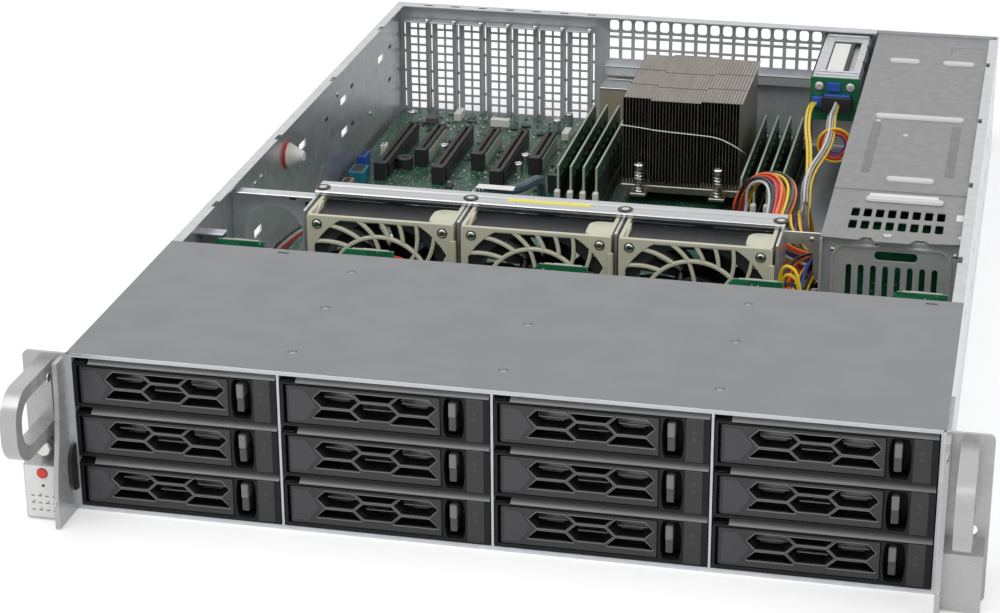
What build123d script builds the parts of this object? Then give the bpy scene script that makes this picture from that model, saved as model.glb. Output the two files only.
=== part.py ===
from build123d import *
import math
import os

# Rack and chassis: X is across the rack, Y runs from front to rear, Z is up.
# The origin lies on the underside of the chassis floor, at its centre.
chassis_width = 437.0
chassis_depth = 648.0
chassis_height = 88.0
sheet = 1.2
lip_width = 5.0
lip_notch = 9.0
lip_notches = 4
side_slot_length = 14.0
side_slot_height = 5.0

# Rack ears
panel_width = 482.6
rack_hole_inset = 8.75
rack_hole_height = 37.7
rack_hole_radius = 3.4
ear_sheet = 2.0
ear_leg = 45.0
ear_corner = 3.0
ear_wall_sheet = 2.5
ear_wall_top = 13.0
ear_wall_bottom = 24.0
ear_sweep_low = 34.0
ear_sweep_high = 44.0
ear_leg_gap = 2.0
ear_leg_bottom = 3.0
ear_side_gap = 1.5
handle_reach = 48.0
handle_width = 8.5
handle_strap = 7.0
handle_bottom = 45.0
handle_radius = 16.0
handle_inner_radius = 11.0
handle_root = 3.0
handle_top_gap = 4.0
foot_depth = 13.0
foot_height = 31.0
foot_slope = 3.0
power_button_radius = 2.6
power_button_height = 26.5
power_button_travel = 1.0
power_button_length = 3.0
power_button_proud = 0.6
power_well_gap = 0.6
reset_hole_radius = 0.8
reset_hole_height = 19.5
reset_hole_depth = 3.0

# Drive bays
bay_columns = 4
bay_rows = 3
cage_sheet = 1.2
cage_depth = 172.0
cover_depth = 156.0
cage_rear_height = 78.0
guide_width = 2.6
guide_sheet = 0.5
carrier_gap = 0.5
carrier_lift = 0.3
rail_sheet = 2.2
rail_height = 22.0
bezel_depth = 16.0
ledge_depth = 3.2
drive_length = 147.0
drive_gap = 0.8

# Release lever with its honeycomb
lever_thickness = 6.0
lever_gap = 1.7
lever_margin = 2.0
lever_bottom = 2.2
lever_top = 4.3
cell_pitch_x = 19.8
cell_pitch_z = 9.9
cell_bar = 1.2
cell_columns = 3
cell_margin = 1.6
frame_bar = 1.5
pad_length = 14.8
pin_radius = 1.2
pin_clearance = 0.25
pocket_gap = 0.35

# Release button in its oval recess
recess_width = 10.5
recess_height = 19.0
recess_depth = 9.0
recess_offset = 18.0
button_width = 3.6
button_travel = 2.0
button_floor_gap = 0.3
button_high_set = 0.6
button_low_set = 1.4
recess_corner = 3.15

# Backplane
board_sheet = 1.6
backplane_gap = 4.0
tab_width = 27.0
tab_slope = 6.0
tab_drop = 5.0
plug_width = 42.0
plug_height = 7.0
board_edge_gap = 2.0
board_top_gap = 10.0
tab_shares = (-0.86, -0.51, 0.0, 0.5, 0.91)
air_window_offset = (24.0, 2.0)

# Fan wall
fan_count = 3
fan_front = 222.0
fan_depth = 38.0
fan_gap = 4.6
fan_bottom = 0.6
fan_top_gap = 4.4
fan_shell = 2.2
grille_sheet = 2.6
grille_radius = 45.0
grille_side = 4.0
grille_edge = 2.4
grille_ribs = 7
rib_width = 2.4
rib_sweep = 0.9
rib_first = 97.0
ring_radius = 29.6
ring_width = 2.2
hub_radius = 11.0
hub_step = 6.0
bore_wall = 1.5
rotor_gap = 5.0
fan_frame_drop = 3.8
rotor_blades = 7
blade_sheet = 1.4
blade_chord = 20.0
rotor_depth = 22.0
rotor_clearance = 1.4
hub_wall = 2.0
shaft_radius = 2.0
strut_width = 4.0
shaft_clearance = 0.3
left_bracket = 54.3
bracket_set_back = 4.0
plate_set_back = 8.0
plate_bottom = 54.6
plate_hole = 3.6
plate_holes = 4
plate_hole_pitch = 14.0
lead_window = (24.0, 14.0)
opening_shift = 4.0
opening_height = 52.8
right_bracket = 22.3
rail_front = 253.0
rail_depth = 17.0
rail_gap = 0.3
rail_flange = 8.0
partition = 1.5
cable_opening_radius = 18.0

# Power supplies in their cage
cage_width = 83.0
cage_front = 242.0
cage_top_gap = 2.0
step_depth = 82.0
step_drop = 1.2
vent_columns = 8
vent_rows = 2
vent_pitch = 7.0
vent_size = 4.2
slit_count = 8
slit_pitch = 6.6
slit_width = 2.6
slit_height = 36.0
front_recess = 6.0
slit_share = 0.42
slit_slot_gap = 4.0
slit_slot = (24.0, 5.0)
side_opening_front = 14.0
side_opening_rear = 6.0
side_opening_bottom = 18.0
side_opening_top = 10.0
vent_share = 0.36
vent_row_pitch = 9.1
roof_middle_shift = 2.0
psu_reach = 124.4
psu_side_gap = 1.6
psu_gap = 0.4
psu_handle_reach = 20.0
psu_handle_strap = 3.0
psu_fan_radius = 16.0
psu_fan_edge = 4.0
psu_fan_hub = 7.2
psu_fan_depth = 3.0
psu_inlet = (24.0, 18.0, 14.0)
psu_inlet_edge = 6.0
psu_handle_share = 0.4
rib_height = 0.7
rib_bar = 3.0
rear_bar_length = 22.0
rear_bar_spread = 19.0
rear_bar_inset = 66.0
frame_bars = ((2.0, 138.0, 52.0), (-4.0, 20.0, 32.0))
frame_grooves = ((-28.0, 78.0, 96.0), (22.0, 78.0, 96.0))
power_board_gap = 10.0
outlet_heights = (29.0, 45.0, 61.0)
outlet_size = 9.0
outlet_half = 6.0
outlet_gap = 1.0
power_board_drop = 4.0
supply_plug = (48.0, 10.0)

# Motherboard and what stands on it
board_left_gap = 3.5
board_right_gap = 35.3
board_rear_gap = 8.0
board_front_gap = 46.0
standoff_height = 5.3
standoff_radius = 3.0
slot_pitch = 20.32
slot_offset = 13.1
slot_wall = 2.0
slot_groove = 2.0
slot_floor = 4.0
slot_width = 7.6
slot_height = 11.4
slot_long = 89.0
slot_short = 57.0
slot_rear = 69.0
memory_count = 4
memory_pitch = 8.6
memory_length = 133.0
memory_height = 30.0
memory_sheet = 3.0
memory_rear = 66.0
memory_gap_left = 11.3
memory_gap_right = 3.6
memory_latch = 4.0
socket_width = 6.4
socket_height = 8.0
seat_depth = 5.0
heatsink_width = 81.0
heatsink_length = 105.0
heatsink_rear = 65.0
heatsink_right = 39.0
heatsink_top_gap = 7.5
processor_height = 8.0
processor_size = 58.0
heatsink_base = 5.0
fin_pitch = 2.1
fin_sheet = 0.6
port_depth = 22.0
port_height = 30.0
port_width = 96.0
port_gap = 1.0
plug_row_gap = 18.0
power_plug = (11.0, 52.0, 13.0)
power_plug_inset = 31.5
power_plug_gap = 19.0
spare_plug = (12.0, 20.0, 12.0)
spare_plug_inset = 11.5
data_plug = (16.0, 7.0, 9.0)
data_plug_insets = (94.0, 150.0)
side_plug_insets = (24.0, 58.0)
buzzer_radius = 6.0
buzzer_height = 8.0
buzzer_gap = 8.0

# Rear wall
cover_height = 72.0
cover_floor = 5.0
cover_gap = 2.0
cover_sheet = 1.0
cover_tab = 11.0
square_rows = 6
square_pitch = 11.4
square_size = 5.4
column_pitch = 6.6
slot_cover_start = 3.6
grille_pitch = 9.6
grille_hole = 7.0
grille_rows = (0.61, 0.73, 0.88)
grille_left_gap = 10.0
rear_flange = 9.0

# Small rear drive bay
small_bay_width = 33.0
small_bay_length = 104.0
small_board_height = 30.0
small_bay_gap = 4.0
small_bay_drop = 2.0
small_bay_bottom = 34.0
small_drive_front = 4.0
small_drive_rear = 2.0
small_plug = (20.0, 6.0, 10.0)
small_plug_drop = 12.0

# Cables
bundle_diameter = 7.0
lead_diameter = 4.0
cable_sides = 6

# Worked out from the sizes above
front = -chassis_depth / 2
rear = chassis_depth / 2
inside = chassis_width / 2 - sheet
roof = chassis_height - sheet
floor = sheet

opening_half = inside - cage_sheet
opening_bottom = floor + cage_sheet
opening_top = roof - cage_sheet
column_clear = (2 * opening_half - (bay_columns - 1) * cage_sheet) / bay_columns
column_pitch_x = column_clear + cage_sheet
row_pitch = (opening_top - opening_bottom) / bay_rows
carrier_width = column_clear - 2 * carrier_gap
carrier_height = row_pitch - guide_sheet - 2 * carrier_lift
carrier_length = bezel_depth + drive_gap + drive_length

lever_left = -carrier_width / 2 + lever_margin
lever_low = lever_bottom
lever_high = carrier_height - lever_top
heel_radius = lever_thickness / 2
pivot_x = lever_left + heel_radius
recess_x = carrier_width / 2 - recess_offset
lever_right = recess_x - recess_width / 2 - lever_gap
recess_z = (lever_low + lever_high) / 2

backplane_y = front + cage_depth + backplane_gap
plug_depth = backplane_y - (front + carrier_length) - drive_gap

cage_left = inside - cage_width
fan_left = -inside + left_bracket
fan_right = cage_left - right_bracket
fan_pitch = (fan_right - fan_left) / fan_count
fan_width = fan_pitch - fan_gap
fan_low = floor + fan_bottom
fan_high = roof - fan_top_gap + sheet
fan_height = fan_high - fan_low
fan_middle = (fan_low + fan_high) / 2
frame_width = fan_width - 2 * fan_shell
frame_height = fan_height - fan_shell - fan_frame_drop
bore_radius = min(frame_width, fan_height - 2 * fan_shell) / 2 - bore_wall
frame_end = fan_depth - 1.0
rotor_start = grille_sheet + rotor_gap
wall_back = rail_front + rail_depth

board_left = -inside + board_left_gap
board_right = cage_left - board_right_gap
board_front = front + fan_front + fan_depth + board_front_gap
board_back = rear - board_rear_gap
board_low = floor + standoff_height
board_top = board_low + board_sheet
board_width = board_right - board_left

heatsink_x = board_right - heatsink_right - heatsink_width / 2
heatsink_y = rear - heatsink_rear - heatsink_length / 2
heatsink_low = board_top + processor_height
heatsink_high = chassis_height - heatsink_top_gap
memory_y = rear - memory_rear - memory_length / 2
memory_front = memory_y - memory_length / 2 - memory_latch
cage_top = roof - cage_top_gap + sheet
cage_y = front + cage_front
cage_length = rear - sheet - cage_y
power_board_y = cage_y + front_recess + sheet + power_board_gap
psu_length = rear - power_board_y - board_sheet - psu_reach + drive_gap
psu_width = cage_width - sheet - 2 * psu_side_gap
psu_x = cage_left + sheet + psu_side_gap + psu_width / 2
psu_height = (cage_top - sheet - floor - 3 * psu_gap - sheet) / 2
shelf_z = floor + psu_gap + psu_height + psu_gap
outlet_x = cage_left + sheet + outlet_gap
socket_span = board_right - heatsink_right - heatsink_width - 5 * memory_pitch - board_left
connector_y = board_front + plug_row_gap
power_plug_x = board_right - power_plug_inset
power_plug_y = memory_front - power_plug_gap - power_plug[1] / 2
power_plug_top = board_top + power_plug[2]
spare_plug_x = board_right - spare_plug_inset
spare_plug_y = connector_y + spare_plug[1] / 2
spare_plug_top = board_top + spare_plug[2]
data_plug_y = connector_y + data_plug[1] / 2
data_plug_x = [board_left + inset for inset in data_plug_insets]
side_plug_x = [board_left + inset for inset in side_plug_insets]
data_plug_top = board_top + data_plug[2]
buzzer_x = -inside + slot_cover_start + 1.0 * slot_pitch + slot_offset
buzzer_y = rear - slot_rear - slot_short - buzzer_gap
small_bay_top = cage_top - small_bay_drop
small_plug_y = rear - sheet - small_bay_length - board_sheet - small_plug[1]
cover_count = math.floor(socket_span / slot_pitch)
cover_width = slot_pitch - cover_gap
small_bay_x = cage_left - small_bay_width / 2 - small_bay_gap
grille_left = -inside + slot_cover_start + cover_count * slot_pitch + grille_left_gap
grille_right = small_bay_x - small_bay_width / 2 - small_bay_drop
grille_columns = math.floor((grille_right - grille_left) / grille_pitch)


def block(x0, x1, y0, y1, z0, z1):
    """A box between two corners."""
    middle = ((x0 + x1) / 2, (y0 + y1) / 2, (z0 + z1) / 2)
    return Pos(*middle) * Box(x1 - x0, y1 - y0, z1 - z0)


def patch(x0, x1, z0, z1):
    """A rectangle between two corners of a profile."""
    return Pos((x0 + x1) / 2, (z0 + z1) / 2) * Rectangle(x1 - x0, z1 - z0)


def upright(profile, y0, thickness):
    """A plate that faces front, from a profile in X and Z, with its front face at y0."""
    return Pos(0, y0 + thickness, 0) * extrude(Plane.XZ * profile, amount=thickness)


def lengthwise(profile, x0, thickness):
    """A plate that faces the side, from a profile in Y and Z, starting at x0."""
    return Pos(x0, 0, 0) * extrude(Plane.YZ * profile, amount=thickness)


def flat(profile, z0, thickness):
    """A level plate from a profile in X and Y, starting at z0."""
    return Pos(0, 0, z0) * extrude(profile, amount=thickness)


def grid(x, z, pitch_x, pitch_z, columns, rows, width, height):
    """Equal rectangles in columns and rows about a centre."""
    spots = GridLocations(pitch_x, pitch_z, columns, rows)
    return [Pos(x, z) * spot * Rectangle(width, height) for spot in spots]


def save(name, *pieces):
    """Writes one node, which may hold several separate solids."""
    solids = [solid for piece in pieces for solid in piece.solids()]
    export_step(Compound(solids), f"parts/{name}.step")


def chassis_tray():
    """The floor and both side walls, folded from one sheet, with notched lips on the walls."""
    half = chassis_width / 2
    outline = patch(-half, half, 0, chassis_height) - patch(-inside, inside, sheet, chassis_height)
    tray = upright(outline, front, chassis_depth)
    cover_end = front + cover_depth
    tray -= block(-half, half, front, cover_end, roof, chassis_height)
    lip_end = rear - rear_flange
    lip_span = lip_end - cover_end
    for side in (-1, 1):
        edge = side * inside
        inner = side * (inside - lip_width)
        lip = patch(min(edge, inner), max(edge, inner), cover_end, lip_end)
        spots = GridLocations(1, lip_span / lip_notches, 1, lip_notches)
        middle = (cover_end + lip_end) / 2
        lip -= [Pos(inner, middle) * spot * Rectangle(lip_width, lip_notch) for spot in spots]
        tray += flat(lip, roof, sheet)
    size = (side_slot_length, side_slot_height)
    slots = grid(middle, chassis_height * 0.7, lip_span / 5, 1, 5, 1, *size)
    slots += grid(middle, chassis_height * 0.44, lip_span / 2.5, 1, 2, 1, *size)
    for slot in slots:
        tray -= lengthwise(slot, -half, chassis_width)
    return tray


def drive_bay_cover():
    """The plain plate over the drive cage, with a turned-down front edge and two small slots."""
    half = chassis_width / 2
    plate = patch(-half, half, front, front + cover_depth)
    slot_y = front + cover_depth - 5.0
    plate -= [Pos(x, slot_y) * Rectangle(6.0, 2.0) for x in (-inside * 0.7, inside * 0.93)]
    return flat(plate, roof, sheet)


def drive_cage():
    """Sides, floor, roof and dividers around the drives, with guide strips between the rows."""
    shell = patch(-inside, inside, floor, roof)
    shell -= [
        Pos((column - (bay_columns - 1) / 2) * column_pitch_x, (opening_bottom + opening_top) / 2)
        * Rectangle(column_clear, opening_top - opening_bottom)
        for column in range(bay_columns)
    ]
    cage = upright(shell, front, cage_depth)
    for column in range(bay_columns):
        middle = (column - (bay_columns - 1) / 2) * column_pitch_x
        for row in range(1, bay_rows):
            z = opening_bottom + row * row_pitch - guide_sheet / 2
            for side in (-1, 1):
                wall = middle + side * column_clear / 2
                strip = wall - side * guide_width
                x0, x1 = min(wall, strip), max(wall, strip)
                cage += block(x0, x1, front + bezel_depth, front + cage_depth, z, z + guide_sheet)
    behind_cover = (front + cover_depth, front + cage_depth)
    return cage - block(-inside, inside, *behind_cover, cage_rear_height, roof)


def bezel():
    """The moulded front of a carrier: lever pocket, air window, button recess and sloped ledge."""
    half = carrier_width / 2
    slope = Polyline(
        (0, lever_high + ledge_depth / 2),
        (ledge_depth, carrier_height),
        (bezel_depth, carrier_height),
        (bezel_depth, 0),
        (0, 0),
        close=True,
    )
    body = lengthwise(make_face(slope), -half, carrier_width)
    pocket_left = lever_left - pocket_gap
    pocket_right = lever_right + pocket_gap
    pocket = patch(pocket_left, pocket_right, lever_low - pocket_gap, lever_high + pocket_gap)
    body -= upright(pocket, -1.0, lever_thickness + pocket_gap + 1.0)
    window_low, window_high = lever_low + frame_bar, lever_high - frame_bar
    window = patch(pocket_left + pad_length, pocket_right - cell_margin, window_low, window_high)
    body -= upright(window, 0, bezel_depth)
    recess = Pos(recess_x, recess_z) * chamfer(
        Rectangle(recess_width, recess_height).vertices(), recess_corner
    )
    body -= upright(recess, -1.0, recess_depth + 1.0)
    pin = Pos(pivot_x, heel_radius, (lever_low + lever_high) / 2)
    return body + pin * Cylinder(pin_radius, lever_high - lever_low + 2 * pocket_gap)


def carrier():
    """A carrier as one moulding: its front with two side rails."""
    half = carrier_width / 2
    body = bezel()
    for side in (-1, 1):
        outer = side * half
        inner = side * (half - rail_sheet)
        x0, x1 = min(outer, inner), max(outer, inner)
        body += block(x0, x1, bezel_depth, carrier_length, 0, rail_height)
    return body


def drive():
    """A 3.5 inch drive that fills the carrier behind its front."""
    half = carrier_width / 2 - rail_sheet
    start = bezel_depth + drive_gap
    body = block(-half, half, start, start + drive_length, 0, carrier_height - carrier_lift)
    return body


def honeycomb():
    """Long hexagons in staggered columns, kept inside the lever's frame."""
    high = lever_high - cell_margin
    low = high - 1.5 * cell_pitch_z
    start = lever_left + pad_length
    end = lever_right - cell_margin
    cell_height = cell_pitch_z - cell_bar
    half_length = (cell_pitch_x + cell_pitch_z / 2 - cell_bar * math.sqrt(2)) / 2
    shoulder = half_length - cell_height / 2
    cell = make_face(
        Polyline(
            (-half_length, 0),
            (-shoulder, cell_height / 2),
            (shoulder, cell_height / 2),
            (half_length, 0),
            (shoulder, -cell_height / 2),
            (-shoulder, -cell_height / 2),
            close=True,
        )
    )
    frame = patch(start, end, low, high)
    top_row = high - cell_height / 2
    cells = []
    for column in range(cell_columns):
        x = start + half_length + column * cell_pitch_x
        shift = cell_pitch_z / 2 if column % 2 else 0
        for row in range(-1, 2):
            spot = Pos(x, top_row + shift - row * cell_pitch_z)
            kept = (spot * cell) & frame
            if kept is not None and kept.area > cell_height * cell_bar:
                cells.append(kept)
    return cells


def lever():
    """The swinging front: a round heel that hooks over its pin, and the honeycomb cut through it."""
    plan = Pos(pivot_x, heel_radius) * Circle(heel_radius)
    plan += patch(pivot_x, lever_right, 0, lever_thickness)
    hook = pin_radius + pin_clearance
    plan -= patch(lever_left - hook, pivot_x + hook, heel_radius - hook, heel_radius + hook)
    body = flat(plan, lever_low, lever_high - lever_low)
    for cell in honeycomb():
        body -= upright(cell, 0, lever_thickness)
    return body


def button():
    """The release slab that slides sideways in its recess, with a thicker lower half."""
    height = recess_height - 2 * pocket_gap - recess_corner
    left = recess_x - button_width / 2 - button_travel / 2
    side = Polyline(
        (button_high_set, height / 2),
        (recess_depth - button_floor_gap, height / 2),
        (recess_depth - button_floor_gap, -height / 2),
        (button_low_set, -height / 2),
        (button_low_set, 0),
        (button_high_set, 0),
        close=True,
    )
    return Pos(0, 0, recess_z) * lengthwise(make_face(side), left, button_width)


def bay_places():
    """The name ending and the place of every bay, by row from the top and by column."""
    for row in range(bay_rows):
        for column in range(bay_columns):
            x = (column - (bay_columns - 1) / 2) * column_pitch_x
            z = opening_bottom + (bay_rows - 1 - row) * row_pitch + guide_sheet / 2 + carrier_lift
            yield f"{row + 1}{column + 1}", Pos(x, front, z)


def backplane():
    """The upright board behind the drives, with air windows, tabs and the drive plugs."""
    top = chassis_height - board_top_gap
    edge = inside - board_edge_gap
    board = patch(-edge, edge, floor + board_edge_gap, top)
    window_x, window_z = air_window_offset
    for column in range(bay_columns):
        x = (column - (bay_columns - 1) / 2) * column_pitch_x
        for row in range(bay_rows):
            z = opening_bottom + (row + 0.5) * row_pitch
            board -= Pos(x + window_x, z + window_z) * Rectangle(column_clear / 3, row_pitch / 3)
    for share in tab_shares:
        x = share * edge
        half = tab_width / 2
        tab = Polyline(
            (x - half - tab_slope, top - board_sheet),
            (x + half, top - board_sheet),
            (x + half, chassis_height - tab_drop),
            (x - half, chassis_height - tab_drop),
            close=True,
        )
        board += make_face(tab) & patch(-edge, edge, floor, chassis_height)
    plugs = []
    for _, place in bay_places():
        x = place.position.X - column_clear / 4
        z = place.position.Z + carrier_height / 2 - plug_height
        y1 = backplane_y
        plugs.append(block(x - plug_width / 2, x + plug_width / 2, y1 - plug_depth, y1, z, z + plug_height))
    return [upright(board, backplane_y, board_sheet), *plugs]


def swirl_rib(angle, radii):
    """One swept rib of the fan grille, a bent band from the hub over the ring to the rim."""
    sides = ([], [])
    for radius in radii:
        bearing = math.radians(angle + rib_sweep * (radius - ring_radius))
        for side, half in zip(sides, (-rib_width / 2, rib_width / 2)):
            turned = bearing + half / radius
            side.append((radius * math.cos(turned), radius * math.sin(turned)))
    return make_face(Polyline(*sides[0], *reversed(sides[1]), close=True))


def fan_grille():
    """The front plate of a fan with its swirl of ribs, drawn about the fan's middle."""
    window = Rectangle(fan_width - 2 * grille_side, fan_height - 2 * grille_edge)
    ring = min(ring_radius, bore_radius - ring_width)
    sides = 3 * grille_ribs
    web = Circle(hub_radius)
    web += RegularPolygon(ring + ring_width / 2, sides) - RegularPolygon(ring - ring_width / 2, sides)
    for rib in range(grille_ribs):
        angle = rib_first + rib * 360 / grille_ribs
        web += swirl_rib(angle, (hub_radius - rib_width / 2, ring, grille_radius + rib_width))
    opening = Circle(grille_radius) & window
    return Rectangle(fan_width, fan_height) - opening + (web & Rectangle(fan_width, fan_height))


def fan_housing(x):
    """One fan housing: grille, two cheeks, sill, the square frame round the bore, and the rear hub."""
    spot = Pos(x, front + fan_front, fan_middle)
    body = upright(fan_grille(), 0, grille_sheet)
    half = fan_width / 2
    low = -fan_height / 2
    high = fan_height / 2
    channel = patch(-half, half, low, high)
    channel -= patch(-half + fan_shell, half - fan_shell, low + fan_shell, high)
    body += upright(channel, grille_sheet, fan_depth - grille_sheet)
    seat = low + fan_shell
    frame = patch(-frame_width / 2, frame_width / 2, seat, seat + frame_height) - Circle(bore_radius)
    body += upright(frame, grille_sheet, frame_end - grille_sheet)
    struts = Circle(hub_radius)
    for turn in (45, 135):
        struts += Rot(0, 0, turn) * Rectangle(2 * bore_radius + 1.0, strut_width)
    strut_start = rotor_start + rotor_depth + 1.0
    body += upright(struts, strut_start, frame_end - strut_start)
    shaft_tip = rotor_start + hub_wall + shaft_clearance
    shaft = Pos(0, (shaft_tip + strut_start) / 2, 0) * Rot(90, 0, 0)
    return spot * (body + shaft * Cylinder(shaft_radius, strut_start - shaft_tip))


def fan_rotor(x):
    """Hub and twisted blades of one fan, on an axis along Y."""
    hub = hub_radius + hub_step
    limit = bore_radius - rotor_clearance
    tip = math.sqrt(limit**2 - (blade_chord / 2) ** 2)
    body = Cylinder(hub, rotor_depth)
    sections = []
    for radius, pitch in ((hub - 2.0, 32.0), (tip, 52.0)):
        plane = Plane(origin=(radius, 0, 0), x_dir=(0, 1, 0), z_dir=(1, 0, 0))
        sections.append(plane * Rot(0, 0, pitch) * Rectangle(blade_sheet, blade_chord))
    blade = loft(sections, ruled=True)
    for turn in range(rotor_blades):
        body += Rot(0, 0, turn * 360 / rotor_blades) * blade
    bore = Pos(0, 0, -hub_wall) * Cylinder(shaft_radius + shaft_clearance, rotor_depth)
    body -= bore
    spot = Pos(x, front + fan_front + rotor_start + rotor_depth / 2, fan_middle)
    return spot * Rot(90, 0, 0) * body


def fan_places():
    """The middle of each fan across the chassis."""
    return [fan_left + (index + 0.5) * fan_pitch for index in range(fan_count)]


def fan_wall():
    """The cross rail over the fans, the partitions between them and a bracket to either side."""
    y0 = front + rail_front
    y1 = front + wall_back
    fan_back = front + fan_front + fan_depth
    rail = patch(fan_left - partition, fan_right + partition, y0, y1)
    rail_z = fan_high + rail_gap
    wall = flat(rail, rail_z, sheet)
    back = patch(fan_left - partition, fan_right + partition, rail_z - rail_flange, rail_z + sheet)
    wall += upright(back, y1 - sheet, sheet)
    partition_y = front + fan_front + bracket_set_back
    for index in range(fan_count + 1):
        x = fan_left + index * fan_pitch
        x += partition / 2 if index == 0 else 0
        x -= partition / 2 if index == fan_count else 0
        half = partition / 2
        wall += block(x - half, x + half, partition_y, y1, floor, rail_z + sheet / 2)
    left = patch(-inside, fan_left, floor, fan_high)
    opening_x = (-inside + fan_left) / 2 + opening_shift
    left -= Pos(opening_x, opening_height) * Circle(cable_opening_radius)
    left -= Pos(opening_x, floor + opening_shift + lead_window[1] / 2) * Rectangle(*lead_window)
    holes_x = -inside + 1.5 * plate_hole
    left -= grid(holes_x, chassis_height / 2, 1, plate_hole_pitch, 1, plate_holes, plate_hole, plate_hole)
    wall += upright(left, fan_back - bracket_set_back, sheet)
    right = patch(fan_right, cage_left, plate_bottom, fan_high)
    wall += upright(right, fan_back - plate_set_back, sheet)
    return wall


def psu_cage():
    """The folded cage over the power supplies: stepped roof, vents, ribs, slotted front and shelf."""
    right = inside
    step = cage_y + step_depth
    profile = patch(cage_left, right, floor, cage_top)
    profile -= patch(cage_left + sheet, right - sheet, floor, cage_top - sheet)
    cage = upright(profile, step, cage_y + cage_length - step)
    low_top = cage_top - step_drop
    profile = patch(cage_left, right, floor, low_top)
    profile -= patch(cage_left + sheet, right - sheet, floor, low_top - sheet)
    cage += upright(profile, cage_y, step_depth)
    cage += block(cage_left, right, step, step + sheet, low_top - sheet, cage_top)
    side_y = (cage_y + side_opening_front, step - side_opening_rear)
    side_z = (floor + side_opening_bottom, low_top - side_opening_top)
    cage -= block(cage_left, cage_left + sheet, *side_y, *side_z)
    vents_y = cage_y + step_depth * vent_share
    middle = (cage_left + right) / 2 - 1.0
    vents = (vent_pitch, vent_row_pitch, vent_columns, vent_rows, vent_size, vent_size)
    for vent in grid(middle, vents_y, *vents):
        cage -= flat(vent, low_top - 2 * sheet, 3 * sheet)
    panel = patch(cage_left + sheet, right - sheet, floor, low_top - sheet)
    slit_z = floor + (low_top - floor) * slit_share
    panel -= grid(middle, slit_z, slit_pitch, 1, slit_count, 1, slit_width, slit_height)
    slot_z = slit_z + (slit_height + slit_slot[1]) / 2 + slit_slot_gap
    panel -= Pos(middle + roof_middle_shift, slot_z) * Rectangle(*slit_slot)
    cage += upright(panel, cage_y + front_recess, sheet)
    shelf_y = (rear - psu_length, cage_y + cage_length)
    cage += block(cage_left + sheet, right - sheet, *shelf_y, shelf_z, shelf_z + sheet)
    for rib in cage_ribs():
        cage += flat(rib, cage_top - sheet / 2, rib_height + sheet / 2)
    return cage


def cage_ribs():
    """The raised ribs on the roof of the cage, as profiles in X and Y."""
    middle = (cage_left + inside) / 2 + roof_middle_shift
    step = cage_y + step_depth
    ribs = [
        Pos(middle + side * rear_bar_spread, rear - rear_bar_inset) * Rectangle(rear_bar_length, rib_bar)
        for side in (-1, 1)
    ]
    for x, y, length in frame_bars:
        ribs.append(Pos(middle + x, step + y) * Rectangle(length, rib_bar))
    for x, y, length in frame_grooves:
        ribs.append(Pos(middle + x, step + y) * Rectangle(rib_bar, length))
    return ribs


def power_board():
    """The upright power distribution board behind the slits, with its plugs towards the supplies."""
    y = power_board_y
    low = floor
    high = cage_top - step_drop - sheet - power_board_drop
    x0 = outlet_x
    x1 = inside - sheet - outlet_gap
    half_width, half_height = supply_plug[0] / 2, supply_plug[1] / 2
    board = upright(patch(x0, x1, low, high), y, board_sheet)
    plug_end = y + board_sheet + psu_reach - 2 * drive_gap
    plugs = []
    for z in (floor + psu_gap + psu_height / 2, shelf_z + sheet + psu_height / 2):
        spot = (psu_x - half_width, psu_x + half_width, y + board_sheet, plug_end)
        plugs.append(block(*spot, z - half_height, z + half_height))
    outlets = []
    for z in outlet_heights:
        spot = (x0, x0 + outlet_size, y + board_sheet, y + board_sheet + 2 * outlet_half)
        outlets.append(block(*spot, z - outlet_half, z + outlet_half))
    return [board, *plugs, *outlets]


def power_supply(z0):
    """One supply: a long case with a fan opening, an inlet recess and a pull loop at the rear."""
    half = psu_width / 2
    y0 = rear - psu_length
    body = block(psu_x - half, psu_x + half, y0, rear, z0, z0 + psu_height)
    z = z0 + psu_height / 2
    fan = Circle(psu_fan_radius) - Circle(psu_fan_hub)
    fan_spot = Pos(psu_x + half - psu_fan_radius - psu_fan_edge, z)
    body -= upright(fan_spot * fan, rear - psu_fan_depth, psu_fan_depth)
    inlet_width, inlet_height, inlet_depth = psu_inlet
    inlet = Pos(psu_x - half + psu_inlet_edge + inlet_width / 2, z) * Rectangle(inlet_width, inlet_height)
    body -= upright(inlet, rear - inlet_depth, inlet_depth)
    reach = psu_height * psu_handle_share
    strap = psu_handle_strap
    outer = patch(rear, rear + psu_handle_reach, z - reach, z + reach)
    inner = patch(rear, rear + psu_handle_reach - strap, z - reach + strap, z + reach - strap)
    loop = lengthwise(outer - inner, psu_x + 1.0 - strap, 2 * strap)
    return body + loop


def motherboard():
    """The main board on its six-sided standoffs."""
    board = block(board_left, board_right, board_front, board_back, board_low, board_top)
    posts = []
    middle = ((board_left + board_right) / 2, (board_front + board_back) / 2)
    spots = GridLocations(board_width / 2 - 8.0, (board_back - board_front) / 2 - 8.0, 3, 3)
    for spot in spots:
        post = Pos(*middle) * spot * RegularPolygon(standoff_radius, 6)
        posts.append(flat(post, floor, standoff_height))
    return [board, *posts]


def card_sockets():
    """The long black sockets for cards, one for each cover in the rear wall."""
    sockets = []
    for index in range(cover_count):
        x = -inside + slot_cover_start + (index + 0.5) * slot_pitch + slot_offset
        length = slot_short if index % 2 else slot_long
        y1 = rear - slot_rear
        half = slot_width / 2
        top = board_top + slot_height
        body = block(x - half, x + half, y1 - length, y1, board_top, top)
        groove = slot_groove / 2
        ends = (y1 - length + slot_wall, y1 - slot_wall)
        body -= block(x - groove, x + groove, *ends, board_top + slot_floor, top)
        sockets.append(body)
    return sockets


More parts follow.
